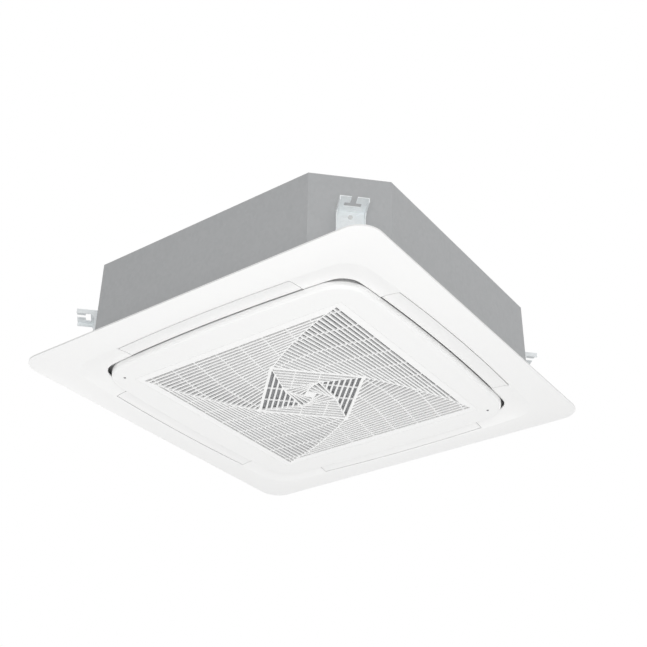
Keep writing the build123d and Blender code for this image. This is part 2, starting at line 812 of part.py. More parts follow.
def pinwheel_gaps():
    """Gaps and holes of one of the four fields between the outer squares and the middle ones."""
    quarter = math.pi / 4
    corner = math.sqrt(2) * swirl_inner
    heart_corner = math.sqrt(2) * heart_half
    high, low = polar(corner, 0), polar(corner, -2 * quarter)
    heart_high = polar(heart_corner, quarter - heart_turn)
    heart_low = polar(heart_corner, -quarter - heart_turn)
    out = polar(1, -quarter)
    knee = heart_high[0] * out[0] + heart_high[1] * out[1]
    low_arm = right_of(low, heart_low, rib_thickness / 2)
    high_arm = right_of(heart_high, high, rib_thickness / 2)
    heart_side = right_of(heart_low, heart_high, slat_thickness / 2)
    gaps, holes = [], []
    for row in range(int(swirl_inner / pinwheel_pitch)):
        top = swirl_inner - row * pinwheel_pitch
        gap = clip(field(corner), out, top - slat_thickness / 2)
        gap = clip(gap, (-out[0], -out[1]), pinwheel_pitch - top - slat_thickness / 2)
        gap = clip(gap, *low_arm)
        if top > knee:
            gap = clip(gap, *high_arm)
        if top - pinwheel_pitch < knee:
            gap = clip(gap, *heart_side)
        if len(gap) > 2 and area(gap) > smallest_gap:
            gaps.append(gap)
        holes += between_ribs(gap, polar(1, quarter), pinwheel_rib_places)
    return gaps, holes


def in_quarters(polygons):
    """Faces of the polygons, made once in each quarter of the square."""
    return [
        make_face(Polyline(*polygon, close=True)).rotate(Axis.Z, 90 * turn)
        for turn in range(4)
        for polygon in polygons
    ]


wide_gaps, wide_holes = swirl_gaps()
middle_gaps, middle_holes = pinwheel_gaps()
hole_faces = in_quarters(wide_holes + middle_holes + heart_gaps())
gap_faces = in_quarters(wide_gaps + middle_gaps)

with BuildPart() as intake_grille:
    with BuildSketch(Plane.XY.offset(grille_bottom)):
        Rectangle(2 * insert_half + 2 * insert_flange, 2 * insert_half + 2 * insert_flange)
        add(hole_faces, mode=Mode.SUBTRACT)
    extrude(amount=insert_thickness)
    # the ribs stand back from the face of the slats
    with BuildSketch(Plane.XY.offset(grille_bottom)):
        add(gap_faces)
    extrude(amount=rib_setback, mode=Mode.SUBTRACT)
    with BuildSketch(Plane.XY.offset(grille_bottom)):
        Rectangle(2 * insert_half + 4 * insert_flange, 2 * insert_half + 4 * insert_flange)
        Rectangle(2 * insert_half, 2 * insert_half, mode=Mode.SUBTRACT)
    extrude(amount=grille_floor, mode=Mode.SUBTRACT)
save(intake_grille.part, "intake_grille")

# ---- Hinge hooks and latches of the grille ---------------------------------------------------------
with BuildPart() as grille_hinge_hooks:
    for side in (-1, 1):
        with BuildSketch(Plane.XZ.offset(-hook_y)):
            with Locations((side * hook_x, (hook_head_z + hook_pivot_z) / 2)):
                Rectangle(hook_width, hook_head_z - hook_pivot_z + hook_thickness)
            with Locations((side * hook_x, hook_head_z + hook_head / 2)):
                Rectangle(hook_width + 2 * hook_head_overhang, hook_head)
        extrude(amount=hook_thickness / 2, both=True)
    for side in (-1, 1):
        for radius, half in (
            (hook_ear_radius, hook_width / 2),
            (hook_pin_radius, hook_width / 2 + hook_ear_play + hook_ear + 1),
        ):
            with BuildSketch(Plane.YZ.offset(side * hook_x)):
                with Locations((hook_y, hook_pivot_z)):
                    Circle(radius)
            extrude(amount=half, both=True)
save(grille_hinge_hooks.part, "grille_hinge_hooks")

tongue_bottom = shelf_top + fit_clearance + 0.2
tongue_root_y = latch_y - latch_length / 2 + 9
with BuildPart() as latch:
    with BuildSketch(Plane.XY.offset(floor_top + fit_clearance)):
        with Locations((0, latch_y)):
            Rectangle(2 * latch_half, latch_length)
    extrude(amount=latch_thickness)
    with BuildSketch(Plane.XY.offset(floor_top + fit_clearance)):
        with Locations((0, tongue_root_y)):
            Rectangle(latch_tongue_width, latch_tongue_thickness)
    extrude(amount=tongue_bottom + latch_tongue_thickness - floor_top - fit_clearance)
    with BuildSketch(Plane.XY.offset(tongue_bottom)):
        with Locations((0, tongue_root_y + latch_tongue_thickness / 2)):
            Rectangle(latch_tongue_width, latch_tongue_depth, align=(Align.CENTER, Align.MAX))
    extrude(amount=latch_tongue_thickness)
    # raised bar for the finger
    with BuildSketch(Plane.XY.offset(floor_top + fit_clearance)):
        with Locations((0, latch_y + latch_length / 2 - latch_tongue_thickness)):
            Rectangle(latch_tongue_width, latch_tongue_thickness)
    extrude(amount=latch_grip_height)
save(latch.part.translate((-latch_x, 0, 0)), "grille_latch_left")
save(latch.part.translate((latch_x, 0, 0)), "grille_latch_right")

# ---- Air filter ------------------------------------------------------------------------------------
with BuildPart() as filter_frame:
    with BuildSketch(Plane.XY.offset(filter_bottom)):
        with BuildSketch() as filter_outline:
            Rectangle(2 * filter_half, 2 * filter_half)
            chamfer(filter_outline.vertices(), filter_corner)
        add(filter_outline.sketch)
        Rectangle(2 * (filter_half - filter_bar), 2 * (filter_half - filter_bar), mode=Mode.SUBTRACT)
    extrude(amount=filter_thickness)
    # groove that holds the edge of the mesh
    with BuildSketch(Plane.XY.offset(filter_mesh_z - pin_clearance)):
        Rectangle(2 * (filter_half - filter_groove_inset), 2 * (filter_half - filter_groove_inset))
    extrude(amount=filter_mesh_thickness + 2 * pin_clearance, mode=Mode.SUBTRACT)
    # ribs over the mesh
    with BuildSketch(Plane.XY.offset(filter_mesh_z + filter_mesh_thickness + pin_clearance)):
        with GridLocations(filter_half / 2, 1, 3, 1):
            Rectangle(filter_rib_width, 2 * filter_half - filter_bar)
        with GridLocations(1, filter_half / 2, 1, 3):
            Rectangle(2 * filter_half - filter_bar, filter_rib_width)
    extrude(amount=filter_rib_height)
save(filter_frame.part, "filter_frame")

with BuildPart() as filter_mesh:
    with BuildSketch(Plane.XY.offset(filter_mesh_z)):
        Rectangle(2 * (filter_half - filter_mesh_inset), 2 * (filter_half - filter_mesh_inset))
    extrude(amount=filter_mesh_thickness)
save(filter_mesh.part, "filter_mesh")


def wall_plane(angle, distance):
    """Upright plane at a distance from the middle; its own x runs along the wall, y is up."""
    turn = math.radians(angle)
    return Plane(
        origin=(distance * math.cos(turn), distance * math.sin(turn), 0),
        x_dir=(-math.sin(turn), math.cos(turn), 0),
        z_dir=(math.cos(turn), math.sin(turn), 0),
    )


def sheet_profile(points, thickness):
    """Section of a formed sheet that follows points, with its thickness to the left of them."""
    with BuildSketch(Plane.XZ) as profile:
        with BuildLine():
            Polyline(*points)
            offset(amount=thickness, side=Side.LEFT, closed=True)
        make_face()
    return profile.sketch


def hexagon(across_flats):
    """Outline of a nut or a bolt head."""
    with BuildSketch() as outline:
        RegularPolygon(across_flats / 2, 6, major_radius=False)
    return outline.sketch


# ---- Casing ------------------------------------------------------------------------------------
top_screw_ring = (body_width / 2 - top_screw_inset) / math.cos(math.pi / 8)
top_screw_places = [
    polar(top_screw_ring, math.pi / 8 + turn * math.pi / 4) for turn in range(8)
]

with BuildPart() as casing_shell:
    with BuildSketch(Plane.XY.offset(body_bottom)):
        add(octagon(0))
        add(octagon(sheet), mode=Mode.SUBTRACT)
    extrude(amount=body_height - sheet)
    # flanges turned inwards at the bottom and the top
    with BuildSketch(Plane.XY.offset(body_bottom)):
        add(octagon(sheet / 2))
        add(octagon(casing_lip), mode=Mode.SUBTRACT)
    extrude(amount=sheet)
    with BuildSketch(Plane.XY.offset(top_sheet_bottom - sheet)):
        add(octagon(sheet / 2))
        add(octagon(2 * top_screw_inset), mode=Mode.SUBTRACT)
    extrude(amount=sheet)
    with BuildSketch(Plane.XY.offset(top_sheet_bottom - sheet)):
        with Locations(*top_screw_places):
            Circle(top_screw_radius + pin_clearance)
    extrude(amount=sheet, mode=Mode.SUBTRACT)
    # openings for the pipes, the cables and the drain
    with BuildSketch(wall_plane(180, body_width / 2)):
        with Locations((-(gas_pipe_y + liquid_pipe_y) / 2, pipe_z)):
            Rectangle(pipe_window_length, pipe_window_height)
        with Locations((-grommet_y, grommet_z)):
            Circle(grommet_neck + pin_clearance)
    extrude(amount=2 * sheet, both=True, mode=Mode.SUBTRACT)
    with BuildSketch(wall_plane(90, body_width / 2)):
        with Locations((-drain_x, drain_z)):
            Circle(drain_port_neck + pin_clearance)
    extrude(amount=2 * sheet, both=True, mode=Mode.SUBTRACT)
    # holes for the bolts of the hanger brackets
    for turn in range(4):
        with BuildSketch(wall_plane(45 + 90 * turn, chamfer_distance)):
            with Locations(*hanger_bolt_places):
                Circle(hanger_bolt_radius + pin_clearance)
        extrude(amount=2 * sheet, both=True, mode=Mode.SUBTRACT)
save(casing_shell.part, "casing_shell")

with BuildPart() as top_plate:
    with BuildSketch(Plane.XY.offset(top_sheet_bottom)):
        add(octagon(0))
        with Locations(*top_screw_places):
            Circle(top_screw_radius + pin_clearance, mode=Mode.SUBTRACT)
        with PolarLocations(motor_bolt_ring, 3):
            Circle(motor_bolt_radius + fit_clearance, mode=Mode.SUBTRACT)
    extrude(amount=sheet)
save(top_plate.part, "top_plate")

with BuildPart() as top_plate_screws:
    with BuildSketch(Plane.XY.offset(body_top)):
        with Locations(*top_screw_places):
            Circle(2 * top_screw_radius)
    extrude(amount=top_screw_radius)
    with BuildSketch(Plane.XY.offset(body_top)):
        with Locations(*top_screw_places):
            Circle(top_screw_radius)
    extrude(amount=-top_screw_length)
save(top_plate_screws.part, "top_plate_screws")

# ---- Hanger brackets on the cut corners -----------------------------------------------------------
hanger_top = hanger_flange_z - hanger_sheet
with BuildPart() as hanger:
    with BuildSketch(wall_plane(0, chamfer_distance)):
        with Locations((0, (hanger_foot_z + hanger_flange_z) / 2)):
            Rectangle(hanger_width, hanger_flange_z - hanger_foot_z)
    extrude(amount=hanger_sheet)
    # side cheeks, wide under the flange and narrow down the casing
    with BuildSketch(Plane.XZ):
        with BuildLine():
            Polyline(
                (chamfer_distance, hanger_foot_z),
                (chamfer_distance + hanger_cheek, hanger_foot_z),
                (chamfer_distance + hanger_cheek, hanger_top - 2 * hanger_cheek),
                (chamfer_distance + 2 * hanger_cheek, hanger_top - hanger_cheek),
                (chamfer_distance + hanger_reach, hanger_top - hanger_cheek),
                (chamfer_distance + hanger_reach, hanger_flange_z),
                (chamfer_distance, hanger_flange_z),
                close=True,
            )
        make_face()
    extrude(amount=hanger_width / 2, both=True)
    with BuildSketch(Plane.XY.offset(hanger_foot_z)):
        with Locations((chamfer_distance + hanger_sheet + hanger_reach / 2, 0)):
            Rectangle(hanger_reach, hanger_width - 2 * hanger_sheet)
    extrude(amount=hanger_top - hanger_foot_z, mode=Mode.SUBTRACT)
    # T-shaped slot with its mouth at the outer edge
    with BuildSketch(Plane.XY.offset(hanger_top)):
        with Locations((chamfer_distance + hanger_slot_offset, 0)):
            Rectangle(hanger_slot_width, hanger_slot_length)
        with Locations((chamfer_distance + hanger_slot_offset + hanger_reach / 2, 0)):
            Rectangle(hanger_reach, hanger_mouth)
    extrude(amount=hanger_sheet, mode=Mode.SUBTRACT)
    with BuildSketch(wall_plane(0, chamfer_distance)):
        with Locations(*hanger_bolt_places):
            Circle(hanger_bolt_radius + pin_clearance)
    extrude(amount=hanger_sheet, mode=Mode.SUBTRACT)

corner_names = ("rear_right", "rear_left", "front_left", "front_right")
for turn, corner_name in enumerate(corner_names):
    save(hanger.part.rotate(Axis.Z, 45 + 90 * turn), f"hanger_bracket_{corner_name}")

with BuildPart() as hanger_bolts:
    for turn in range(4):
        with BuildSketch(wall_plane(45 + 90 * turn, chamfer_distance + hanger_sheet)):
            with Locations(*hanger_bolt_places):
                add(hexagon(3 * hanger_bolt_radius))
        extrude(amount=hanger_bolt_radius)
        with BuildSketch(wall_plane(45 + 90 * turn, chamfer_distance + hanger_sheet)):
            with Locations(*hanger_bolt_places):
                Circle(hanger_bolt_radius)
        extrude(amount=-hanger_sheet - sheet - hanger_bolt_end)
save(hanger_bolts.part, "hanger_bolts")

# ---- Foam liner ------------------------------------------------------------------------------------
liner_inset = sheet + fit_clearance
with BuildPart() as foam_liner:
    with BuildSketch(Plane.XY.offset(liner_bottom)):
        add(octagon(liner_inset))
    extrude(amount=liner_top - liner_bottom)
    with BuildSketch(Plane.XY.offset(liner_bottom)):
        add(octagon(liner_inset + liner_thickness))
    extrude(amount=liner_ceiling - liner_bottom, mode=Mode.SUBTRACT)
    # opening for the motor bracket
    with BuildSketch(Plane.XY.offset(liner_ceiling)):
        Circle(bracket_radius + 4)
    extrude(amount=liner_thickness, mode=Mode.SUBTRACT)
    # openings for the pipes, the cables, the drain and the bolt ends
    with BuildSketch(wall_plane(180, body_width / 2)):
        with Locations((-(gas_pipe_y + liquid_pipe_y) / 2, pipe_z)):
            Rectangle(pipe_window_length, pipe_window_height)
        with Locations((-grommet_y, grommet_z)):
            Circle(grommet_neck + 4)
    extrude(amount=-2 * liner_thickness, mode=Mode.SUBTRACT)
    with BuildSketch(wall_plane(90, body_width / 2)):
        with Locations((-drain_x, drain_z)):
            Circle(drain_port_neck + 2)
    extrude(amount=-2 * liner_thickness, mode=Mode.SUBTRACT)
    for turn in range(4):
        with BuildSketch(wall_plane(45 + 90 * turn, chamfer_distance)):
            with Locations(*hanger_bolt_places):
                Circle(2 * hanger_bolt_radius)
        extrude(amount=-liner_thickness, mode=Mode.SUBTRACT)
save(foam_liner.part, "foam_liner")

# ---- Drain pan -------------------------------------------------------------------------------------
with BuildPart() as drain_pan:
    with BuildSketch(Plane.XY.offset(pan_bottom)):
        add(octagon(sheet + 0.5))
        RectangleRounded(2 * pan_opening, 2 * pan_opening, trough_corner, mode=Mode.SUBTRACT)
        with PolarLocations(0, 4):
            with Locations(((duct_reach + pan_outlet_outer) / 2, 0)):
                Rectangle(pan_outlet_outer - duct_reach, outlet_length + 3, mode=Mode.SUBTRACT)
    extrude(amount=pan_height)
    with BuildSketch(Plane.XY.offset(trough_floor)):
        RectangleRounded(2 * trough_outer, 2 * trough_outer, trough_corner)
        RectangleRounded(2 * trough_inner, 2 * trough_inner, trough_corner, mode=Mode.SUBTRACT)
    extrude(amount=pan_height, mode=Mode.SUBTRACT)
    # ribs that carry the coil above the water
    with BuildSketch(Plane.XY.offset(trough_floor)):
        with PolarLocations(0, 4):
            for place in (-0.55, 0, 0.55):
                with Locations(((trough_inner + trough_outer) / 2, place * trough_inner)):
                    Rectangle(trough_outer - trough_inner, 8)
    extrude(amount=coil_bottom_z - trough_floor)
    # holes for the plug and the screws that enter the pan
    with BuildSketch(Plane.XY.offset(pan_bottom)):
        with Locations((plug_x, plug_y)):
            Circle(plug_radius + pin_clearance)
    extrude(amount=pan_height, mode=Mode.SUBTRACT)
    with BuildSketch(Plane.XY.offset(pan_bottom)):
        with GridLocations(2 * panel_screw_x, 2 * panel_screw_y, 2, 2):
            Circle(panel_screw_radius + pin_clearance)
    extrude(amount=panel_screw_tip - pan_bottom + fit_clearance, mode=Mode.SUBTRACT)
    with BuildSketch(Plane.XY.offset(pan_bottom)):
        with GridLocations(2 * bell_screw_x, 2 * bell_screw_y, 2, 2):
            Circle(bell_screw_radius + pin_clearance)
    extrude(amount=bell_screw_length + fit_clearance, mode=Mode.SUBTRACT)
save(drain_pan.part, "drain_pan")

with BuildPart() as drain_plug:
    with BuildSketch(Plane.XY.offset(pan_bottom)):
        with Locations((plug_x, plug_y)):
            Circle(plug_radius + 3)
    extrude(amount=-2)
    with BuildSketch(Plane.XY.offset(pan_bottom)):
        with Locations((plug_x, plug_y)):
            Circle(plug_radius)
    extrude(amount=trough_floor - pan_bottom - 1)
save(drain_plug.part, "drain_plug")

# ---- Bell mouth ------------------------------------------------------------------------------------
plate_bottom = pan_bottom - bell_sheet
with BuildPart() as bell_mouth:
    with BuildSketch(Plane.XY.offset(plate_bottom)):
        RectangleRounded(2 * bell_half, 2 * bell_half, trough_corner)
        Circle(flare_radius, mode=Mode.SUBTRACT)
    extrude(amount=bell_sheet)
    with BuildSketch(Plane.XZ) as flare_section:
        with BuildLine():
            inner_arc = ThreePointArc(
                (flare_radius, plate_bottom),
                (throat_radius + flare_bulge, (plate_bottom + throat_top_z) / 2 - flare_drop),
                (throat_radius, throat_top_z),
            )
            outer_arc = ThreePointArc(
                (flare_radius + 2 * bell_sheet, plate_bottom),
                (
                    throat_radius + flare_bulge + bell_sheet,
                    (plate_bottom + throat_top_z) / 2 - flare_drop + 2,
                ),
                (throat_radius + bell_sheet, throat_top_z),
            )
            Line(inner_arc @ 0, outer_arc @ 0)
            Line(inner_arc @ 1, outer_arc @ 1)
        make_face()
    revolve(axis=Axis.Z)
    with BuildSketch(Plane.XY.offset(plate_bottom)):
        with Locations(((control_inner_x + control_outer_x) / 2, 0)):
            Rectangle(
                control_outer_x - control_inner_x + 2 * fit_clearance,
                2 * control_half + 2 * fit_clearance,
            )
        with GridLocations(2 * bell_screw_x, 2 * bell_screw_y, 2, 2):
            Circle(bell_screw_radius + pin_clearance)
    extrude(amount=bell_sheet, mode=Mode.SUBTRACT)
save(bell_mouth.part, "bell_mouth")

with BuildPart() as bell_mouth_screws:
    with BuildSketch(Plane.XY.offset(plate_bottom)):
        with GridLocations(2 * bell_screw_x, 2 * bell_screw_y, 2, 2):
            Circle(2 * bell_screw_radius)
    extrude(amount=-2)
    with BuildSketch(Plane.XY.offset(plate_bottom)):
        with GridLocations(2 * bell_screw_x, 2 * bell_screw_y, 2, 2):
            Circle(bell_screw_radius)
    extrude(amount=bell_sheet + bell_screw_length)
save(bell_mouth_screws.part, "bell_mouth_screws")

# ---- Turbo fan -------------------------------------------------------------------------------------
dome_points = [
    (fan_radius, fan_back_z),
    (dome_edge, fan_back_z),
    (motor_radius + 14, motor_bottom_z + 6),
    (motor_radius + 8, motor_bottom_z - 8),
    (2 * hub_radius, dome_floor_z + 1),
    (hub_radius - 2, dome_floor_z),
]
blade_room = [
    (fan_inlet_radius + 1, shroud_inlet_z + 2),
    (fan_inlet_radius + 18, (shroud_inlet_z + shroud_rim_z) / 2 + 6),
    (fan_radius - 1, shroud_rim_z + 1),
    (fan_radius - 1, fan_back_z + 1),
    (dome_edge, fan_back_z + 1),
    (dome_edge, throat_top_z + 30),
    (fan_inlet_radius - 1, throat_top_z + 5),
]

with BuildPart() as blades:
    with BuildSketch(Plane.XY.offset(shroud_inlet_z)):
        with BuildLine():
            ThreePointArc(
                polar(dome_edge + 20, 0),
                polar(fan_radius - 44, -blade_sweep / 3),
                polar(fan_radius + 6, -blade_sweep),
            )
            offset(amount=fan_sheet, side=Side.LEFT, closed=True)
        blade_outline = make_face()
        add(
            [blade_outline.rotate(Axis.Z, turn * 360 / fan_blades) for turn in range(1, fan_blades)]
        )
    extrude(amount=fan_back_z - shroud_inlet_z + 2)
    with BuildSketch(Plane.XZ):
        with BuildLine():
            Polyline(*blade_room, close=True)
        make_face()
    revolve(axis=Axis.Z, mode=Mode.INTERSECT)

with BuildPart() as turbo_fan:
    add(sheet_profile(dome_points, -fan_sheet))
    revolve(axis=Axis.Z)
    with BuildSketch(Plane.XZ):
        with BuildLine():
            ThreePointArc(
                (fan_inlet_radius, shroud_inlet_z),
                (fan_inlet_radius + 17, (shroud_inlet_z + shroud_rim_z) / 2 + 5),
                (fan_radius, shroud_rim_z),
            )
            offset(amount=fan_sheet, side=Side.LEFT, closed=True)
        make_face()
    revolve(axis=Axis.Z)
    add(blades.part)
    with BuildSketch(Plane.XY.offset(hub_bottom_z)):
        Circle(hub_radius)
    extrude(amount=dome_floor_z + fan_sheet - hub_bottom_z)
    with BuildSketch(Plane.XY.offset(hub_bottom_z)):
        Circle(shaft_radius + pin_clearance)
    extrude(amount=2 * hub_radius, mode=Mode.SUBTRACT)
save(turbo_fan.part, "turbo_fan")

with BuildPart() as fan_nut:
    with BuildSketch(Plane.XY.offset(hub_bottom_z)):
        add(hexagon(3.2 * shaft_radius))
        Circle(shaft_radius + pin_clearance, mode=Mode.SUBTRACT)
    extrude(amount=-1.6 * shaft_radius)
save(fan_nut.part, "fan_nut")

# ---- Fan motor -------------------------------------------------------------------------------------
with BuildPart() as motor_housing:
    with BuildSketch(Plane.XY.offset(motor_bottom_z)):
        Circle(motor_radius)
    extrude(amount=motor_top_z - motor_bottom_z)
    with BuildSketch(Plane.XY.offset(motor_bottom_z + motor_wall)):
        Circle(motor_radius - motor_wall)
    extrude(amount=motor_top_z - motor_bottom_z - 2 * motor_wall, mode=Mode.SUBTRACT)
    # bearing seats
    with BuildSketch(Plane.XY.offset(motor_bottom_z)):
        Circle(bearing_radius + 4)
    extrude(amount=motor_wall + bearing_height)
    with BuildSketch(Plane.XY.offset(motor_top_z)):
        Circle(bearing_radius + 4)
    extrude(amount=-motor_wall - bearing_height)
    with BuildSketch(Plane.XY.offset(motor_bottom_z + motor_wall)):
        Circle(bearing_radius + pin_clearance)
    extrude(amount=bearing_height, mode=Mode.SUBTRACT)
    with BuildSketch(Plane.XY.offset(motor_top_z - motor_wall)):
        Circle(bearing_radius + pin_clearance)
    extrude(amount=-bearing_height, mode=Mode.SUBTRACT)
    with BuildSketch(Plane.XY.offset(motor_bottom_z)):
        Circle(shaft_radius + 2)
    extrude(amount=motor_wall, mode=Mode.SUBTRACT)
    # three feet on top
    with BuildSketch(Plane.XY.offset(motor_top_z)):
        Circle(motor_radius)
        for turn in range(3):
            with Locations(Rot(0, 0, 120 * turn) * Pos(motor_bolt_ring / 2, 0)):
                Rectangle(motor_bolt_ring, 2.4 * bush_radius)
        with PolarLocations(motor_bolt_ring, 3):
            Circle(1.2 * bush_radius)
        with PolarLocations(motor_bolt_ring, 3):
            Circle(motor_bolt_radius + fit_clearance, mode=Mode.SUBTRACT)
    extrude(amount=motor_foot)
save(motor_housing.part, "motor_housing")

with BuildPart() as motor_stator:
    with BuildSketch(Plane.XY.offset(stator_bottom_z)):
        Circle(motor_radius - motor_wall - pin_clearance)
        Circle(rotor_radius + 1.5, mode=Mode.SUBTRACT)
        with PolarLocations(rotor_radius + 12, 12):
            Rectangle(17, 5, mode=Mode.SUBTRACT)
    extrude(amount=stator_height)
save(motor_stator.part, "motor_stator")

with BuildPart() as motor_rotor:
    with BuildSketch(Plane.XY.offset(shaft_bottom_z)):
        Circle(shaft_radius)
    extrude(amount=motor_top_z - motor_wall - 1 - shaft_bottom_z)
    with BuildSketch(Plane.XY.offset(rotor_bottom_z)):
        Circle(rotor_radius)
    extrude(amount=rotor_height)
save(motor_rotor.part, "motor_rotor")

with BuildPart() as motor_bearings:
    for low in (motor_bottom_z + motor_wall, motor_top_z - motor_wall - bearing_height):
        with BuildSketch(Plane.XY.offset(low)):
            Circle(bearing_radius)
            Circle(shaft_radius + pin_clearance, mode=Mode.SUBTRACT)
        extrude(amount=bearing_height)
save(motor_bearings.part, "motor_bearings")

tray_top = bracket_bottom_z + bracket_sheet
with BuildPart() as motor_bracket:
    with BuildSketch(Plane.XZ):
        with BuildLine():
            Polyline(
                (0, bracket_bottom_z),
                (bracket_tray_radius, bracket_bottom_z),
                (bracket_tray_radius, top_sheet_bottom - bracket_sheet),
                (bracket_radius, top_sheet_bottom - bracket_sheet),
                (bracket_radius, top_sheet_bottom),
                (bracket_tray_radius - bracket_sheet, top_sheet_bottom),
                (bracket_tray_radius - bracket_sheet, tray_top),
                (0, tray_top),
                close=True,
            )
        make_face()
    revolve(axis=Axis.Z)
    with BuildSketch(Plane.XY.offset(bracket_bottom_z)):
        with PolarLocations(motor_bolt_ring, 3):
            Circle(motor_bolt_radius + fit_clearance)
    extrude(amount=bracket_sheet, mode=Mode.SUBTRACT)
save(motor_bracket.part, "motor_bracket")

foot_top = motor_top_z + motor_foot
with BuildPart() as motor_bushes:
    with BuildSketch(Plane.XY.offset(foot_top)):
        with PolarLocations(motor_bolt_ring, 3):
            Circle(bush_radius)
        with PolarLocations(motor_bolt_ring, 3):
            Circle(motor_bolt_radius + pin_clearance, mode=Mode.SUBTRACT)
    extrude(amount=bracket_bottom_z - foot_top)
save(motor_bushes.part, "motor_bushes")

with BuildPart() as motor_bolts:
    with BuildSketch(Plane.XY.offset(body_top)):
        with PolarLocations(motor_bolt_ring, 3):
            add(hexagon(3.3 * motor_bolt_radius))
    extrude(amount=motor_bolt_radius + 1)
    with BuildSketch(Plane.XY.offset(body_top)):
        with PolarLocations(motor_bolt_ring, 3):
            Circle(motor_bolt_radius)
    extrude(amount=motor_top_z - 2 * motor_bolt_radius - body_top)
    # head that carries the foot from below
    with BuildSketch(Plane.XY.offset(motor_top_z)):
        with PolarLocations(motor_bolt_ring, 3):
            add(hexagon(3.3 * motor_bolt_radius))
    extrude(amount=-motor_bolt_radius - 1)
save(motor_bolts.part, "motor_bolts")

# ---- Coil ------------------------------------------------------------------------------------------
coil_inner = coil_outer - coil_depth
row_near = coil_inner + coil_depth / 4
row_far = coil_outer - coil_depth / 4
tube_heights = [
    (coil_bottom_z + coil_top_z - (tube_count - 1) * tube_pitch) / 2 + level * tube_pitch
    for level in range(tube_count)
]
with BuildPart() as coil_fins:
    with BuildSketch(Plane.XY.offset(coil_bottom_z)):
        RectangleRounded(2 * coil_outer, 2 * coil_outer, coil_bend_radius)
        RectangleRounded(
            2 * coil_inner, 2 * coil_inner, coil_bend_radius - coil_depth, mode=Mode.SUBTRACT
        )
        with Locations((-coil_end, coil_end)):
            Rectangle(coil_outer, coil_outer, align=(Align.MAX, Align.MIN), mode=Mode.SUBTRACT)
    extrude(amount=coil_top_z - coil_bottom_z)
save(coil_fins.part, "coil_fins")

with BuildPart() as coil_end_plates:
    with BuildSketch(Plane.XY.offset(coil_bottom_z)):
        with Locations((-coil_end, (coil_inner + coil_outer) / 2)):
            Rectangle(end_plate_sheet, coil_depth, align=(Align.MAX, Align.CENTER))
        with Locations((-(coil_inner + coil_outer) / 2, coil_end)):
            Rectangle(coil_depth, end_plate_sheet, align=(Align.CENTER, Align.MIN))
    extrude(amount=coil_top_z - coil_bottom_z)
save(coil_end_plates.part, "coil_end_plates")

bend_start = coil_end + end_plate_sheet + bend_gap
with BuildPart() as return_bend:
    with BuildLine() as bend_path:
        Line((0, 0, 0), (bend_leg, 0, 0))
        ThreePointArc(
            (bend_leg, 0, 0),
            (bend_leg + tube_pitch / 2, 0, tube_pitch / 2),
            (bend_leg, 0, tube_pitch),
        )
        Line((bend_leg, 0, tube_pitch), (0, 0, tube_pitch))
    with BuildSketch(Plane.YZ):
        Circle(tube_radius)
    sweep()

with BuildPart() as coil_return_bends:
    # end beside the pump: both rows joined in pairs from the bottom
    for row in (row_near, row_far):
        for level in range(0, tube_count, 2):
            with Locations(Pos(-bend_start, row, tube_heights[level]) * Rot(0, 0, 180)):
                add(return_bend.part)
    # end beside the pipes: top and bottom tubes stay free for the feeds
    for row in (row_near, row_far):
        for level in range(1, tube_count - 1, 2):
            with Locations(Pos(-row, bend_start, tube_heights[level]) * Rot(0, 0, 90)):
                add(return_bend.part)
save(coil_return_bends.part, "coil_return_bends")

# ---- Refrigerant pipes -------------------------------------------------------------------------------
pipe_face = -body_width / 2 - sheet


def manifold(riser_radius, feed_radius, row, pipe_y, pipe_radius):
    """Upright tube fed by the top and bottom coil tubes, with a pipe that ends in a plain stub."""
    with BuildPart() as tubes:
        with BuildSketch(Plane.XY.offset(tube_heights[0] - riser_radius)):
            with Locations((-row, pipe_y)):
                Circle(riser_radius)
        extrude(amount=tube_heights[-1] - tube_heights[0] + 2 * riser_radius)
        with BuildSketch(Plane.XZ.offset(-bend_start)):
            for height in (tube_heights[0], tube_heights[-1]):
                with Locations((-row, height)):
                    Circle(feed_radius)
        extrude(amount=bend_start - pipe_y)
        with BuildSketch(Plane.YZ.offset(-row)):
            with Locations((pipe_y, pipe_z)):
                Circle(pipe_radius + pipe_swell)
        extrude(amount=row - pipe_tip + pipe_stub_length)
        with BuildSketch(Plane.YZ.offset(-pipe_tip)):
            with Locations((pipe_y, pipe_z)):
                Circle(pipe_radius)
        extrude(amount=pipe_stub_length)
        with BuildSketch(Plane.YZ.offset(-pipe_tip)):
            with Locations((pipe_y, pipe_z)):
                Circle(pipe_radius - pipe_wall)
        extrude(amount=pipe_tip - row - riser_radius, mode=Mode.SUBTRACT)
    return tubes.part


def flare_nut(across_flats, pipe_y, pipe_radius):
    """Nut that waits on a pipe, with a round skirt at its open end."""
    with BuildPart() as nut:
        with BuildSketch(Plane.YZ.offset(-nut_place)):
            with Locations((pipe_y, pipe_z)):
                add(hexagon(across_flats))
        extrude(amount=nut_length * 0.7)
        with BuildSketch(Plane.YZ.offset(-nut_place)):
            with Locations((pipe_y, pipe_z)):
                Circle(across_flats * 0.42)
        extrude(amount=nut_length)
        with BuildSketch(Plane.YZ.offset(-nut_place)):
            with Locations((pipe_y, pipe_z)):
                Circle(pipe_radius + pipe_swell + pin_clearance)
        extrude(amount=nut_length, mode=Mode.SUBTRACT)
    return nut.part


save(
    manifold(gas_riser_radius, tube_radius, row_near, gas_pipe_y, gas_pipe_radius), "gas_header"
)
save(
    manifold(liquid_riser_radius, tube_radius - 1, row_far, liquid_pipe_y, liquid_pipe_radius),
    "liquid_distributor",
)
save(flare_nut(gas_nut_flats, gas_pipe_y, gas_pipe_radius), "gas_flare_nut")
save(flare_nut(liquid_nut_flats, liquid_pipe_y, liquid_pipe_radius), "liquid_flare_nut")

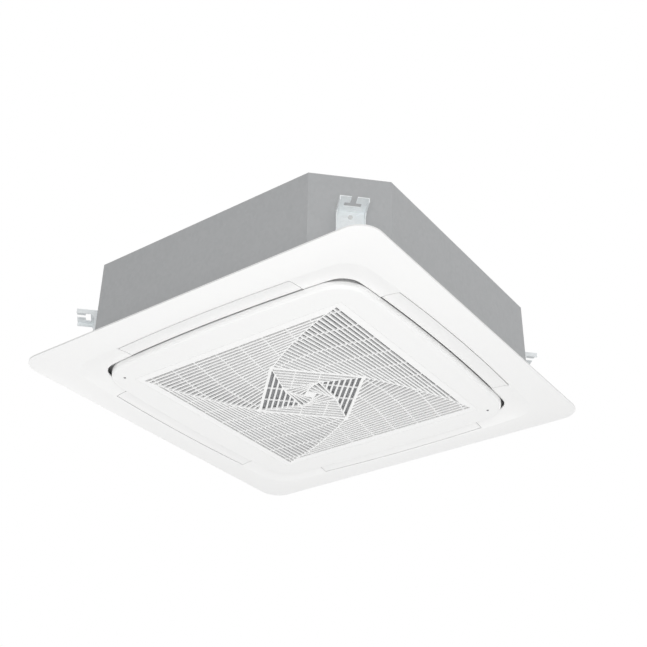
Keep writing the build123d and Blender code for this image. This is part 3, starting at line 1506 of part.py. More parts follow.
with BuildPart() as pipe_cover_plate:
    with BuildSketch(Plane.YZ.offset(-body_width / 2)):
        with Locations(((gas_pipe_y + liquid_pipe_y) / 2, pipe_z)):
            Rectangle(pipe_window_length + 14, pipe_window_height + 14)
        for pipe_y, pipe_radius in (
            (gas_pipe_y, gas_pipe_radius),
            (liquid_pipe_y, liquid_pipe_radius),
        ):
            with Locations((pipe_y, pipe_z)):
                Circle(pipe_radius + pipe_swell + fit_clearance, mode=Mode.SUBTRACT)
    extrude(amount=-sheet)
    # upright ribs pressed into the plate beside the pipes
    with BuildSketch(Plane.YZ.offset(pipe_face)):
        with Locations(((gas_pipe_y + liquid_pipe_y) / 2, pipe_z)):
            with GridLocations(1, pipe_window_height - 10, 1, 2):
                SlotOverall(pipe_window_length - 10, 4)
    extrude(amount=-sheet)
save(pipe_cover_plate.part, "pipe_cover_plate")

# ---- Drain pump, float switch and drain ------------------------------------------------------------------
bracket_edge_y = trough_outer + 4
with BuildPart() as pump_bracket:
    with BuildSketch(Plane.XY.offset(pump_top_z)):
        with Locations((float_x - 12, bracket_edge_y)):
            Rectangle(
                drain_x + pump_radius - float_x + 12,
                bracket_edge_y - pump_y + pump_radius - 3,
                align=(Align.MIN, Align.MAX),
            )
        with Locations((float_x, float_y)):
            Circle(float_stem_radius + pin_clearance, mode=Mode.SUBTRACT)
    extrude(amount=bracket_sheet_thin)
    with BuildSketch(Plane.XZ.offset(-bracket_edge_y)):
        with Locations((drain_x, (pan_top + pump_top_z + bracket_sheet_thin) / 2)):
            Rectangle(2 * pump_radius, pump_top_z + bracket_sheet_thin - pan_top)
        with Locations((drain_x, drain_z)):
            Circle(hose_radius + 1, mode=Mode.SUBTRACT)
    extrude(amount=bracket_sheet_thin)
    with BuildSketch(Plane.XY.offset(pan_top)):
        with Locations((drain_x, bracket_edge_y - bracket_sheet_thin)):
            Rectangle(2 * pump_radius, 22, align=(Align.CENTER, Align.MIN))
    extrude(amount=bracket_sheet_thin)
save(pump_bracket.part, "pump_bracket")

with BuildPart() as drain_pump:
    with BuildSketch(Plane.XY.offset(pump_top_z)):
        with Locations((drain_x, pump_y)):
            Circle(pump_radius)
    extrude(amount=-pump_height)
    with BuildSketch(Plane.XY.offset(pump_top_z - pump_height)):
        with Locations((drain_x, pump_y)):
            Circle(pump_radius * 0.8)
    with BuildSketch(Plane.XY.offset(pump_top_z - pump_height - 16)):
        with Locations((drain_x, pump_y)):
            Circle(pump_radius * 0.55)
    loft()
    with BuildSketch(Plane.XY.offset(pump_top_z - pump_height - 16)):
        with Locations((drain_x, pump_y)):
            Circle(pump_radius * 0.55)
            Circle(pump_radius * 0.35, mode=Mode.SUBTRACT)
    extrude(amount=trough_floor + 3 - pump_top_z + pump_height + 16)
    with BuildSketch(Plane.XZ.offset(-pump_y)):
        with Locations((drain_x, drain_z)):
            Circle(spout_radius)
    extrude(amount=-spout_tip + pump_y)
save(drain_pump.part, "drain_pump")

with BuildPart() as drain_hose:
    with BuildSketch(Plane.XZ.offset(-pump_y - pump_radius - 1)):
        with Locations((drain_x, drain_z)):
            Circle(hose_radius)
            Circle(spout_radius + pin_clearance, mode=Mode.SUBTRACT)
    extrude(amount=pump_y + pump_radius + 1 - hose_end)
save(drain_hose.part, "drain_hose")

with BuildPart() as drain_port:
    with BuildSketch(Plane.XZ.offset(-nipple_start)):
        with Locations((drain_x, drain_z)):
            Circle(spout_radius)
    extrude(amount=nipple_start - body_width / 2)
    with BuildSketch(Plane.XZ.offset(-hose_end - 1)):
        with Locations((drain_x, drain_z)):
            Circle(drain_port_neck)
    extrude(amount=hose_end + 1 - body_width / 2)
    with BuildSketch(Plane.XZ.offset(-body_width / 2)):
        with Locations((drain_x, drain_z)):
            Circle(drain_port_radius + 9)
    extrude(amount=-3)
    with BuildSketch(Plane.XZ.offset(-body_width / 2)):
        with Locations((drain_x, drain_z)):
            Circle(drain_port_radius)
    extrude(amount=body_width / 2 - drain_tip)
    with BuildSketch(Plane.XZ.offset(-drain_tip)):
        with Locations((drain_x, drain_z)):
            Circle(drain_port_radius - 3)
    extrude(amount=drain_tip - body_width / 2, mode=Mode.SUBTRACT)
    with BuildSketch(Plane.XZ.offset(-drain_tip)):
        with Locations((drain_x, drain_z)):
            Circle(spout_radius - 2)
    extrude(amount=drain_tip, mode=Mode.SUBTRACT)
save(drain_port.part, "drain_port")

with BuildPart() as float_stem:
    with BuildSketch(Plane.XY.offset(float_low_z - float_collar)):
        with Locations((float_x, float_y)):
            Circle(float_stem_radius)
    extrude(amount=pump_top_z + bracket_sheet_thin + 6 - float_low_z + float_collar)
    with BuildSketch(Plane.XY.offset(pump_top_z + bracket_sheet_thin)):
        with Locations((float_x, float_y)):
            Circle(2 * float_stem_radius)
    extrude(amount=4)
    # collars that stop the float at both ends of its travel
    collar_gap = float_height + float_travel + 2 * fit_clearance
    for low in (float_low_z - float_collar, float_low_z + collar_gap):
        with BuildSketch(Plane.XY.offset(low)):
            with Locations((float_x, float_y)):
                Circle(2 * float_stem_radius)
        extrude(amount=float_collar)
save(float_stem.part, "float_switch_stem")

with BuildPart() as float_ring:
    with BuildSketch(Plane.XY.offset(float_low_z + fit_clearance)):
        with Locations((float_x, float_y)):
            Circle(float_radius)
            Circle(float_stem_radius + fit_clearance, mode=Mode.SUBTRACT)
    extrude(amount=float_height)
    fillet(float_ring.edges().filter_by(GeomType.CIRCLE).group_by(SortBy.RADIUS)[-1], float_edge_round)
save(float_ring.part, "float")

# ---- Control box ---------------------------------------------------------------------------------------
control_middle_x = (control_inner_x + control_outer_x) / 2
control_width = control_outer_x - control_inner_x
pressing_width = control_width - 2 * lid_pressing_border
pressing_length = 2 * control_half - 4 * lid_pressing_border
with BuildPart() as control_box:
    with BuildSketch(Plane.XY.offset(plate_bottom - control_sheet)):
        with Locations((control_middle_x, 0)):
            Rectangle(control_width + 2 * control_flange, 2 * (control_half + control_flange))
    extrude(amount=control_sheet)
    with BuildSketch(Plane.XY.offset(plate_bottom)):
        with Locations((control_middle_x, 0)):
            Rectangle(control_width, 2 * control_half)
    extrude(amount=control_top_z - plate_bottom)
    with BuildSketch(Plane.XY.offset(plate_bottom - control_sheet)):
        with Locations((control_middle_x, 0)):
            Rectangle(control_width - 2 * control_sheet, 2 * control_half - 2 * control_sheet)
    extrude(amount=control_top_z - plate_bottom, mode=Mode.SUBTRACT)
save(control_box.part, "control_box")

with BuildPart() as control_box_lid:
    with BuildSketch(Plane.XY.offset(plate_bottom - control_sheet)):
        with Locations((control_middle_x, 0)):
            Rectangle(control_width + 2 * control_flange, 2 * (control_half + control_flange))
    extrude(amount=-control_sheet)
    with BuildSketch(Plane.XY.offset(plate_bottom - 2 * control_sheet)):
        with Locations((control_middle_x, 0)):
            RectangleRounded(pressing_width, pressing_length, lid_pressing_border - 1)
            RectangleRounded(
                pressing_width - 2 * lid_pressing_width,
                pressing_length - 2 * lid_pressing_width,
                lid_pressing_border - 1 - lid_pressing_width,
                mode=Mode.SUBTRACT,
            )
    extrude(amount=-control_sheet / 2)
save(control_box_lid.part, "control_box_lid")

board_z = control_top_z - board_drop
with BuildPart() as control_board:
    with BuildSketch(Plane.XY.offset(board_z)):
        with Locations((control_middle_x, board_shift)):
            Rectangle(control_width - 10, board_length)
    extrude(amount=board_thickness)
    # posts up to the roof of the box
    with BuildSketch(Plane.XY.offset(board_z)):
        with Locations((control_middle_x, board_shift)):
            with GridLocations(control_width - 18, board_length - 10, 2, 2):
                Circle(2.5)
    extrude(amount=control_top_z - control_sheet - board_z)
    # parts soldered on the lower side
    with BuildSketch(Plane.XY.offset(board_z)):
        with Locations((control_middle_x, board_shift)):
            with GridLocations(24, 24, 2, 2):
                Circle(7)
    extrude(amount=-24)
    with BuildSketch(Plane.XY.offset(board_z)):
        with Locations((control_middle_x, board_shift - 48)):
            with GridLocations(24, 18, 2, 3):
                Rectangle(18, 12)
    extrude(amount=-15)
    with BuildSketch(Plane.XY.offset(board_z)):
        with Locations((control_middle_x, board_shift + 50)):
            Rectangle(34, 34)
    extrude(amount=-18)
    with BuildSketch(Plane.XY.offset(board_z)):
        with Locations((control_middle_x, board_shift + 82)):
            with GridLocations(14, 1, 3, 1):
                Rectangle(10, 9)
    extrude(amount=-9)
save(control_board.part, "control_board")

with BuildPart() as terminal_block:
    with BuildSketch(Plane.XY.offset(control_top_z - control_sheet)):
        with Locations((control_middle_x, terminal_y)):
            Rectangle(control_width - 12, 24)
    extrude(amount=-terminal_depth)
    with BuildSketch(Plane.XY.offset(control_top_z - control_sheet - terminal_depth)):
        with Locations((control_middle_x, terminal_y)):
            with GridLocations(10, 12, 4, 2):
                Rectangle(7, 8)
    extrude(amount=terminal_well, mode=Mode.SUBTRACT)
    with BuildSketch(Plane.XY.offset(control_top_z - control_sheet - terminal_depth + terminal_well)):
        with Locations((control_middle_x, terminal_y)):
            with GridLocations(10, 12, 4, 2):
                Circle(2.6)
    extrude(amount=-3)
save(terminal_block.part, "terminal_block")

with BuildPart() as cable_grommet:
    with BuildSketch(Plane.YZ.offset(-body_width / 2)):
        with Locations((grommet_y, grommet_z)):
            Circle(grommet_neck + grommet_collar)
    extrude(amount=-grommet_flange)
    with BuildSketch(Plane.YZ.offset(-body_width / 2)):
        with Locations((grommet_y, grommet_z)):
            Circle(grommet_neck)
    extrude(amount=sheet)
    with BuildSketch(Plane.YZ.offset(-body_width / 2 + sheet)):
        with Locations((grommet_y, grommet_z)):
            Circle(grommet_neck + grommet_collar / 2)
    extrude(amount=grommet_lip)
    with BuildSketch(Plane.YZ.offset(-body_width / 2 - grommet_flange)):
        with Locations((grommet_y, grommet_z)):
            Circle(grommet_bore)
    extrude(amount=grommet_flange, mode=Mode.SUBTRACT)
    # the hole widens where it passes the sheet
    with BuildSketch(Plane.YZ.offset(-body_width / 2 - grommet_relief_start)):
        with Locations((grommet_y, grommet_z)):
            Circle(grommet_bore + grommet_relief)
    extrude(amount=grommet_relief_start + sheet + grommet_lip, mode=Mode.SUBTRACT)
save(cable_grommet.part, "cable_grommet")
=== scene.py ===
import math

import bmesh
import bpy
from mathutils import Matrix, Vector


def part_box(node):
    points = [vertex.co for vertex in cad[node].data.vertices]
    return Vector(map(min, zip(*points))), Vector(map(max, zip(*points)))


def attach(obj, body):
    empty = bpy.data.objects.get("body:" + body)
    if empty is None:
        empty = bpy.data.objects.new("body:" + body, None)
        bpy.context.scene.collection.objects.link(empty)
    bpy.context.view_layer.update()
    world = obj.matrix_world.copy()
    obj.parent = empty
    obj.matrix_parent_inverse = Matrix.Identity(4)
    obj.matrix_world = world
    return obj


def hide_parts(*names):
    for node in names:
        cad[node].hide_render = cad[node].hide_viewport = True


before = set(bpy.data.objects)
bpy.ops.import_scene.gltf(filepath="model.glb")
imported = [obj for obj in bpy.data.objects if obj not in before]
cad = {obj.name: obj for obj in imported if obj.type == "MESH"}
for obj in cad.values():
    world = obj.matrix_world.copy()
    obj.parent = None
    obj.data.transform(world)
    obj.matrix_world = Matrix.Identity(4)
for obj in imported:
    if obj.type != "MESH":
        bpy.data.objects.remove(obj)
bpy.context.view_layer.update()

# ---- Studio --------------------------------------------------------------------------------------
# The unit hangs as under a ceiling, so the camera stands below it and looks up at the panel. A
# plain pale floor lies under the camera, and large soft lamps stand below, above and round the unit.
scene = bpy.context.scene
scene.view_settings.view_transform = "Standard"

photo_width = 647
focal_pixels = 1100.5
film_width = 36.0
camera_place = (1.3669, -1.8348, -1.2347)
camera_turn = math.radians(35.97)
camera_tilt = math.radians(-31.7)
camera_roll = math.radians(0.83)
camera_back = Vector(
    (
        math.sin(camera_turn) * math.cos(camera_tilt),
        -math.cos(camera_turn) * math.cos(camera_tilt),
        math.sin(camera_tilt),
    )
)
camera_data = bpy.data.cameras.new("camera")
camera_data.lens = film_width * focal_pixels / photo_width
camera_data.sensor_width = film_width
camera_data.clip_end = 50.0
camera = bpy.data.objects.new("camera", camera_data)
scene.collection.objects.link(camera)
camera.rotation_mode = "QUATERNION"
camera.rotation_quaternion = (
    (-camera_back).to_track_quat("-Z", "Y").to_matrix().to_4x4()
    @ Matrix.Rotation(camera_roll, 4, "Z")
).to_quaternion()
camera.location = camera_place
scene.camera = camera


class Socket:
    """A shader value that can be used in plain sums, so that a pattern reads like a formula."""

    def __init__(self, nodes, socket):
        self.nodes = nodes
        self.socket = socket

    def maths(self, operation, *values):
        return self.nodes.node("ShaderNodeMath", {"operation": operation}, dict(enumerate(values)))

    def __add__(self, other):
        return self.maths("ADD", self, other)

    def __radd__(self, other):
        return self.maths("ADD", other, self)

    def __sub__(self, other):
        return self.maths("SUBTRACT", self, other)

    def __rsub__(self, other):
        return self.maths("SUBTRACT", other, self)

    def __mul__(self, other):
        return self.maths("MULTIPLY", self, other)

    def __rmul__(self, other):
        return self.maths("MULTIPLY", other, self)

    def __pow__(self, other):
        return self.maths("POWER", self, other)

    def __abs__(self):
        return self.maths("ABSOLUTE", self)

    def __gt__(self, other):
        return self.maths("GREATER_THAN", self, other)

    def __lt__(self, other):
        return self.maths("LESS_THAN", self, other)

    def or_more(self, other):
        """The larger of two values."""
        return self.maths("MAXIMUM", self, other)

    def wave(self, pitch):
        """Smooth ripple between 0 and 1 that repeats every pitch."""
        return self.maths("SINE", self * (2 * math.pi / pitch)) * 0.5 + 0.5


class Nodes:
    """The nodes of a finish or of the studio's light, all added by one method."""

    def __init__(self, tree):
        self.tree = tree

    def node(self, kind, settings, values, output=0):
        """Adds a node: its settings first, then a value or a link at each socket."""
        made = self.tree.nodes.new(kind)
        for key, value in settings.items():
            setattr(made, key, value)
        for key, value in values.items():
            if isinstance(value, Socket):
                self.tree.links.new(value.socket, made.inputs[key])
            else:
                made.inputs[key].default_value = value
        return Socket(self, made.outputs[output])


class Finish(Nodes):
    """One material: its plain settings go on the shader, and patterns are laid over them."""

    def __init__(self, name, colour, roughness, metallic=0.0, **settings):
        self.material = bpy.data.materials.new(name)
        self.material.use_nodes = True
        self.material.diffuse_color = (*colour, 1.0)
        super().__init__(self.material.node_tree)
        self.shader = self.tree.nodes["Principled BSDF"]
        self.shader.inputs["Base Color"].default_value = (*colour, 1.0)
        self.shader.inputs["Roughness"].default_value = roughness
        self.shader.inputs["Metallic"].default_value = metallic
        for key, value in settings.items():
            self.shader.inputs[key.replace("_", " ")].default_value = value

    def place(self):
        """Where a point is on the piece, in metres."""
        return self.node("ShaderNodeTexCoord", {}, {}, "Object")

    def axes(self):
        place = self.place()
        return [self.node("ShaderNodeSeparateXYZ", {}, {"Vector": place}, axis) for axis in "XYZ"]

    def stretched_place(self, stretch):
        return self.node("ShaderNodeMapping", {}, {"Vector": self.place(), "Scale": stretch})

    def noise(self, per_metre, detail, stretch=(1, 1, 1)):
        values = {"Vector": self.stretched_place(stretch), "Scale": per_metre, "Detail": detail}
        return self.node("ShaderNodeTexNoise", {}, values, "Fac")

    def cells(self, per_metre, output, feature="F1", stretch=(1, 1, 1)):
        values = {"Vector": self.stretched_place(stretch), "Scale": per_metre}
        return self.node("ShaderNodeTexVoronoi", {"feature": feature}, values, output)

    def channel(self, colour, name):
        """The red, green or blue of a pattern's colour."""
        return self.node("ShaderNodeSeparateColor", {}, {"Color": colour}, name)

    def mix(self, share, first, second):
        """Blend of two colours."""
        values = {0: share}
        for key, colour in ((6, first), (7, second)):
            values[key] = colour if isinstance(colour, Socket) else (*colour, 1.0)
        return self.node("ShaderNodeMix", {"data_type": "RGBA"}, values, 2)

    def paint(self, colour, roughness, height=None, depth=0.0, metallic=None):
        """Joins the patterns to the shader; height is a bump whose full step is depth in metres."""
        joined = {"Base Color": colour, "Roughness": roughness, "Metallic": metallic}
        if height is not None:
            values = {"Height": height, "Distance": depth}
            joined["Normal"] = self.node("ShaderNodeBump", {}, values, "Normal")
        for key, value in joined.items():
            if value is not None:
                self.tree.links.new(value.socket, self.shader.inputs[key])
        return self

    def on(self, *pieces):
        """Gives this finish to CAD nodes, by name, or to new pieces."""
        for piece in pieces:
            mesh = (cad[piece] if isinstance(piece, str) else piece).data
            mesh.materials.clear()
            mesh.materials.append(self.material)
        return self


floor_level = -2.9
floor_half = 8
floor_mesh = bmesh.new()
bmesh.ops.create_grid(
    floor_mesh,
    x_segments=1,
    y_segments=1,
    size=floor_half,
    matrix=Matrix.Translation((0, 0, floor_level)),
)
floor_data = bpy.data.meshes.new("floor")
floor_mesh.to_mesh(floor_data)
floor_mesh.free()
floor = bpy.data.objects.new("floor", floor_data)
scene.collection.objects.link(floor)
Finish("floor_paper", (0.86, 0.86, 0.86), roughness=0.8).on(floor)

# the room gives a soft even light, and rays that see it, straight or by gloss, meet white
white_light = (1.0, 1.0, 1.0, 1.0)
room_strength = 0.44
seen_strength = 1.0
world = bpy.data.worlds.new("studio")
scene.world = world
world.use_nodes = True
room = Nodes(world.node_tree)
room_background = room.tree.nodes["Background"]
room_background.inputs["Color"].default_value = white_light
room_background.inputs["Strength"].default_value = room_strength
room_light = Socket(room, room_background.outputs[0])
seen_light = room.node("ShaderNodeBackground", {}, {"Color": white_light, "Strength": seen_strength})
camera_ray = room.node("ShaderNodeLightPath", {}, {}, "Is Camera Ray")
glossy_ray = room.node("ShaderNodeLightPath", {}, {}, "Is Glossy Ray")
clear_ray = room.node("ShaderNodeLightPath", {}, {}, "Is Transmission Ray")
seen = camera_ray.or_more(glossy_ray).or_more(clear_ray)
light = room.node("ShaderNodeMixShader", {}, {0: seen, 1: room_light, 2: seen_light})
room.tree.links.new(light.socket, room.tree.nodes["World Output"].inputs[0])

unit_middle = Vector((0, 0, 0.1))


def lamp(name, place, size, power):
    """Square soft lamp that points at the middle of the unit."""
    data = bpy.data.lights.new(name, "AREA")
    data.shape = "SQUARE"
    data.size = size
    data.energy = power
    made = bpy.data.objects.new(name, data)
    scene.collection.objects.link(made)
    made.location = place
    made.rotation_mode = "QUATERNION"
    made.rotation_quaternion = (unit_middle - Vector(place)).to_track_quat("-Z", "Y")
    made.visible_camera = False


lamp("lamp_below", place=(-0.12, 0.08, -1.5), size=2.8, power=18.0)
lamp("lamp_by_camera", place=(1.75, -2.35, -1.25), size=1.6, power=36.0)
lamp("lamp_left", place=(-2.6, 0.6, -0.3), size=1.6, power=8.0)
lamp("lamp_right", place=(2.9, 0.3, 0.2), size=1.8, power=8.0)
lamp("lamp_above", place=(-0.8, 0.9, 2.4), size=2.0, power=20.0)
lamp("lamp_rear", place=(0.6, 2.9, 0.3), size=1.8, power=12.0)


# ---- Casing --------------------------------------------------------------------------------------
# Eight-sided tub folded from 1.2 mm hot-dip galvanised sheet, with a flat lid screwed on top.
# The zinc has gone dull, so it reads as an even light grey with a faint flake.
def shade(colour, share):
    """A colour made lighter or darker."""
    return tuple(min(1.0, channel * share) for channel in colour)


def zinc_coat(name, colour, flake_size, contrast, roughness, metallic):
    """Galvanised steel: flakes of slightly different tone and shine, with a faint rolling grain."""
    steel = Finish(name, colour, roughness, metallic)
    flake = steel.cells(1.0 / flake_size, "Color", stretch=(1, 1, 0.8))
    tone = steel.channel(flake, "Red")
    shine = steel.channel(flake, "Green")
    cloud = steel.noise(per_metre=9.0, detail=4.0)
    grain = steel.noise(per_metre=420.0, detail=3.0, stretch=(1, 1, 12))
    share = tone * 0.7 + cloud * 0.3
    return steel.paint(
        colour=steel.mix(share, shade(colour, 1 - contrast), shade(colour, 1 + contrast)),
        roughness=shine * 0.14 + grain * 0.06 + (roughness - 0.1),
        height=grain * 0.5 + tone * 0.5,
        depth=0.00003,
    )


zinc_coat(
    "casing_sheet", (0.450, 0.458, 0.465), flake_size=0.007, contrast=0.012, roughness=0.6, metallic=0.3
).on("casing_shell")
zinc_coat(
    "lid_sheet", (0.50, 0.505, 0.51), flake_size=0.008, contrast=0.035, roughness=0.5, metallic=0.5
).on("top_plate")

zinc_plate = Finish("zinc_plate", (0.70, 0.71, 0.72), roughness=0.32, metallic=0.9)
plate_cloud = zinc_plate.noise(per_metre=260.0, detail=4.0)
plate_scratch = zinc_plate.noise(per_metre=900.0, detail=2.0, stretch=(1, 6, 1))
zinc_plate.paint(
    colour=zinc_plate.mix(plate_cloud, (0.62, 0.63, 0.66), (0.78, 0.77, 0.73)),
    roughness=plate_cloud * 0.16 + plate_scratch * 0.12 + 0.2,
    height=plate_scratch,
    depth=0.00002,
).on("top_plate_screws")

# ---- Hanger brackets -----------------------------------------------------------------------------
# One on each cut corner: a 2 mm pressing with two cheeks and a slotted shelf for the hanging rod.
# They are bright galvanised, a little bluer than the casing, and held by two hexagon bolts each.
corners = ("front_left", "front_right", "rear_left", "rear_right")
zinc_coat(
    "bracket_sheet", (0.86, 0.89, 0.90), flake_size=0.005, contrast=0.05, roughness=0.42, metallic=0.25
).on(*(f"hanger_bracket_{corner}" for corner in corners))
zinc_plate.on("hanger_bolts")

# ---- Foam liner ----------------------------------------------------------------------------------
# Expanded polystyrene lining moulded to the inside of the casing; its beads of about 4 mm show
# as a fine net of grooves. The drain pan is moulded in the same foam.
beads_per_metre = 260.0
foam = Finish("bead_foam", (0.86, 0.87, 0.87), roughness=0.78)
bead = foam.cells(beads_per_metre, "Distance")
bead_tone = foam.channel(foam.cells(beads_per_metre, "Color"), "Red")
# the colour is partly a random tone per bead and partly painted shade, darker towards the grooves between
# the beads
foam.paint(
    colour=foam.mix(bead * 0.7 + bead_tone * 0.3, (0.90, 0.91, 0.91), (0.74, 0.75, 0.76)),
    roughness=bead_tone * 0.12 + 0.7,
    height=1 - bead,
    depth=0.0004,
).on("foam_liner", "drain_pan")


# ---- Fan motor -----------------------------------------------------------------------------------
# Flat outer-shell motor hung in a pressed dish under the lid. The shell is deep-drawn steel, the
# core is stacked laminations with copper windings, and rubber bushes keep its hum off the casing.
def drawn_metal(name, colour, roughness, metallic=1.0):
    """Bright metal with a cloudy tarnish and fine marks from drawing."""
    metal = Finish(name, colour, roughness, metallic)
    tarnish = metal.noise(per_metre=45.0, detail=5.0)
    marks = metal.noise(per_metre=1200.0, detail=2.0, stretch=(1, 1, 5))
    return metal.paint(
        colour=metal.mix(tarnish, shade(colour, 0.8), shade(colour, 1.1)),
        roughness=tarnish * 0.16 + marks * 0.1 + (roughness - 0.1),
        height=marks,
        depth=0.00002,
    )


drawn_metal("motor_shell_steel", (0.33, 0.34, 0.35), roughness=0.42, metallic=0.8).on("motor_housing")
drawn_metal("shaft_steel", (0.62, 0.62, 0.62), roughness=0.22).on("motor_rotor", "motor_bearings")
zinc_coat(
    "dish_sheet", (0.58, 0.59, 0.60), flake_size=0.006, contrast=0.09, roughness=0.4, metallic=0.75
).on("motor_bracket")
zinc_plate.on("motor_bolts")

winding_radius = 0.048
lamination = 0.0005
wire = 0.0006
wire_slope = 0.3
copper_wire = (0.72, 0.33, 0.16)
core = Finish("laminations_and_windings", (0.30, 0.30, 0.31), roughness=0.45, metallic=0.7)
core_x, core_y, core_z = core.axes()
core_radius = (core_x * core_x + core_y * core_y) ** 0.5
sheets = core_z.wave(lamination)
turns = (core_radius + core_z * wire_slope).wave(wire)
wound = core_radius < winding_radius
sheet_colour = core.mix(sheets, (0.20, 0.20, 0.21), (0.38, 0.38, 0.40))
core.paint(
    colour=core.mix(wound, sheet_colour, copper_wire),
    roughness=wound * -0.15 + 0.5,
    height=wound * turns + (1 - wound) * sheets,
    depth=0.0001,
).on("motor_stator")

rubber_black = (0.028, 0.028, 0.03)
rubber = Finish("black_rubber", rubber_black, roughness=0.75)
bloom = rubber.noise(per_metre=70.0, detail=4.0)
rubber_skin = rubber.noise(per_metre=1500.0, detail=2.0)
rubber.paint(
    colour=rubber.mix(bloom, shade(rubber_black, 0.8), shade(rubber_black, 1.35)),
    roughness=bloom * 0.15 + rubber_skin * 0.08 + 0.63,
    height=rubber_skin,
    depth=0.00005,
).on("motor_bushes")


# ---- Turbo fan -----------------------------------------------------------------------------------
# Backward-swept blower wheel moulded in glass-filled plastic: back dish, seven blades and a shroud
# ring in one piece, clamped on the motor's shaft by a nut.
def moulded(name, colour, roughness=0.42, per_metre=1500.0, depth=0.00003, cloud=0.012):
    """Moulded plastic: fine spark-eroded grain, slightly uneven shine and tone."""
    plastic = Finish(name, colour, roughness)
    drift = plastic.noise(per_metre=5.0, detail=3.0)
    sheen = plastic.noise(per_metre=36.0, detail=4.0)
    skin = plastic.noise(per_metre, detail=2.0)
    share = drift * 0.6 + skin * 0.4
    return plastic.paint(
        colour=plastic.mix(share, shade(colour, 1 - cloud), shade(colour, 1 + cloud)),
        roughness=sheen * 0.1 + skin * 0.08 + (roughness - 0.09),
        height=skin,
        depth=depth,
    )


moulded(
    "fan_plastic", (0.045, 0.048, 0.052), roughness=0.5, per_metre=900.0, depth=0.00006, cloud=0.2
).on("turbo_fan")
zinc_plate.on("fan_nut")

# ---- Coil ----------------------------------------------------------------------------------------
# Two rows of copper tube pushed through aluminium fins and bent round into a ring. The fins stand
# across the ring, drawn here at a pitch of 3.2 mm; sheet end plates and brazed return bends close it.
fin_pitch = 0.0032
tube_pitch = 0.021
fins = Finish("fin_aluminium", (0.72, 0.74, 0.76), roughness=0.35, metallic=0.9)
fin_x, fin_y, fin_z = fins.axes()
beside = abs(fin_x) > abs(fin_y)
along = beside * fin_y + (1 - beside) * fin_x
fin_ridge = along.wave(fin_pitch) ** 3
fin_row = fin_z.wave(tube_pitch)
# the light ridges are the fins' own aluminium; the dark between them is painted shade of the gaps between
# the fins
fins.paint(
    colour=fins.mix(fin_ridge, (0.20, 0.21, 0.22), (0.80, 0.82, 0.84)),
    roughness=fins.noise(per_metre=60.0, detail=4.0) * 0.2 + 0.25,
    height=fin_ridge + fin_row * 0.15,
    depth=0.0006,
).on("coil_fins")
small_sheet = zinc_coat(
    "small_sheet", (0.58, 0.59, 0.60), flake_size=0.006, contrast=0.08, roughness=0.42, metallic=0.75
).on("coil_end_plates")
copper = drawn_metal("copper_tube", (0.82, 0.43, 0.29), roughness=0.3).on("coil_return_bends")

# ---- Pipes ---------------------------------------------------------------------------------------
# The coil's copper gas header and liquid feed end in plain stubs outside the casing, each with a
# turned brass flare nut waiting on it. A small galvanised plate closes the casing round them.
copper.on("gas_header", "liquid_distributor")
drawn_metal("turned_brass", (0.80, 0.60, 0.27), roughness=0.26).on("gas_flare_nut", "liquid_flare_nut")
small_sheet.on("pipe_cover_plate")

# ---- Drain ---------------------------------------------------------------------------------------
# A small pump stands in the pan's rear left corner and lifts water through a clear hose to the port
# on the casing. A ring float on a stem stops the unit when the water stands too high, and a rubber
# plug closes the pan's own hole.
small_sheet.on("pump_bracket")
moulded(
    "pump_plastic", (0.79, 0.79, 0.75), roughness=0.45, per_metre=900.0, depth=0.00004, cloud=0.03
).on("drain_pump", "float_switch_stem")
moulded("port_plastic", (0.17, 0.178, 0.187)).on("drain_port")
moulded("float_plastic", (0.75, 0.71, 0.57), roughness=0.5).on("float")
rubber.on("drain_plug")
hose = Finish("clear_vinyl", (0.80, 0.84, 0.84), roughness=0.18, Transmission_Weight=0.6, IOR=1.5)
hose_haze = hose.noise(per_metre=120.0, detail=3.0)
hose.paint(
    colour=hose.mix(hose_haze, (0.72, 0.78, 0.78), (0.88, 0.91, 0.90)),
    roughness=hose_haze * 0.2 + 0.1,
).on("drain_hose")

# ---- Bell mouth ----------------------------------------------------------------------------------
# Grey moulded plate with a trumpet-shaped throat that leads the air into the fan; four screws
# hold it under the drain pan.
moulded("bell_mouth_plastic", (0.17, 0.178, 0.187), per_metre=1200.0, depth=0.00004, cloud=0.04).on(
    "bell_mouth"
)
zinc_plate.on("bell_mouth_screws")

# ---- Control box ---------------------------------------------------------------------------------
# Galvanised tray let into the bell mouth's plate, with a pressed lid. Inside are the circuit board,
# its capacitors, relays, sockets and heat sink hanging under it, and a row of screw terminals. The
# cable enters the casing through a rubber grommet.
zinc_coat(
    "control_box_sheet", (0.60, 0.61, 0.62), flake_size=0.006, contrast=0.09, roughness=0.42, metallic=0.75
).on("control_box", "control_box_lid")

board_underside = 0.0578
heat_sink_start = 0.066
heat_sink_end = 0.106
socket_start = 0.108
tracks_per_metre = 300.0
track_width = 0.05
parts_per_metre = 38.0
relay_blue = (0.10, 0.13, 0.20)
capacitor_black = (0.03, 0.03, 0.035)
socket_white = (0.80, 0.79, 0.74)
sink_grey = (0.50, 0.51, 0.53)
board = Finish("circuit_board", (0.02, 0.20, 0.08), roughness=0.35)
board_x, board_y, board_z = board.axes()
on_board = board_z > board_underside
track_edge = board.cells(tracks_per_metre, "Distance", "DISTANCE_TO_EDGE", stretch=(1, 0.35, 1))
track = (track_edge < track_width) * on_board
part_tone = board.channel(board.cells(parts_per_metre, "Color"), "Blue")
socket_end = (board_y > socket_start) * (1 - on_board)
heat_sink = (board_y > heat_sink_start) * (board_y < heat_sink_end) * (1 - on_board)
parts = board.mix(part_tone > 0.5, capacitor_black, relay_blue)
parts = board.mix(socket_end, parts, socket_white)
parts = board.mix(heat_sink, parts, sink_grey)
face = board.mix(track, (0.015, 0.16, 0.06), (0.05, 0.34, 0.14))
board.paint(
    colour=board.mix(on_board, parts, face),
    roughness=board.noise(per_metre=400.0, detail=3.0) * 0.2 + 0.28,
    height=track,
    depth=0.00005,
    metallic=heat_sink * 0.8,
).on("control_board")
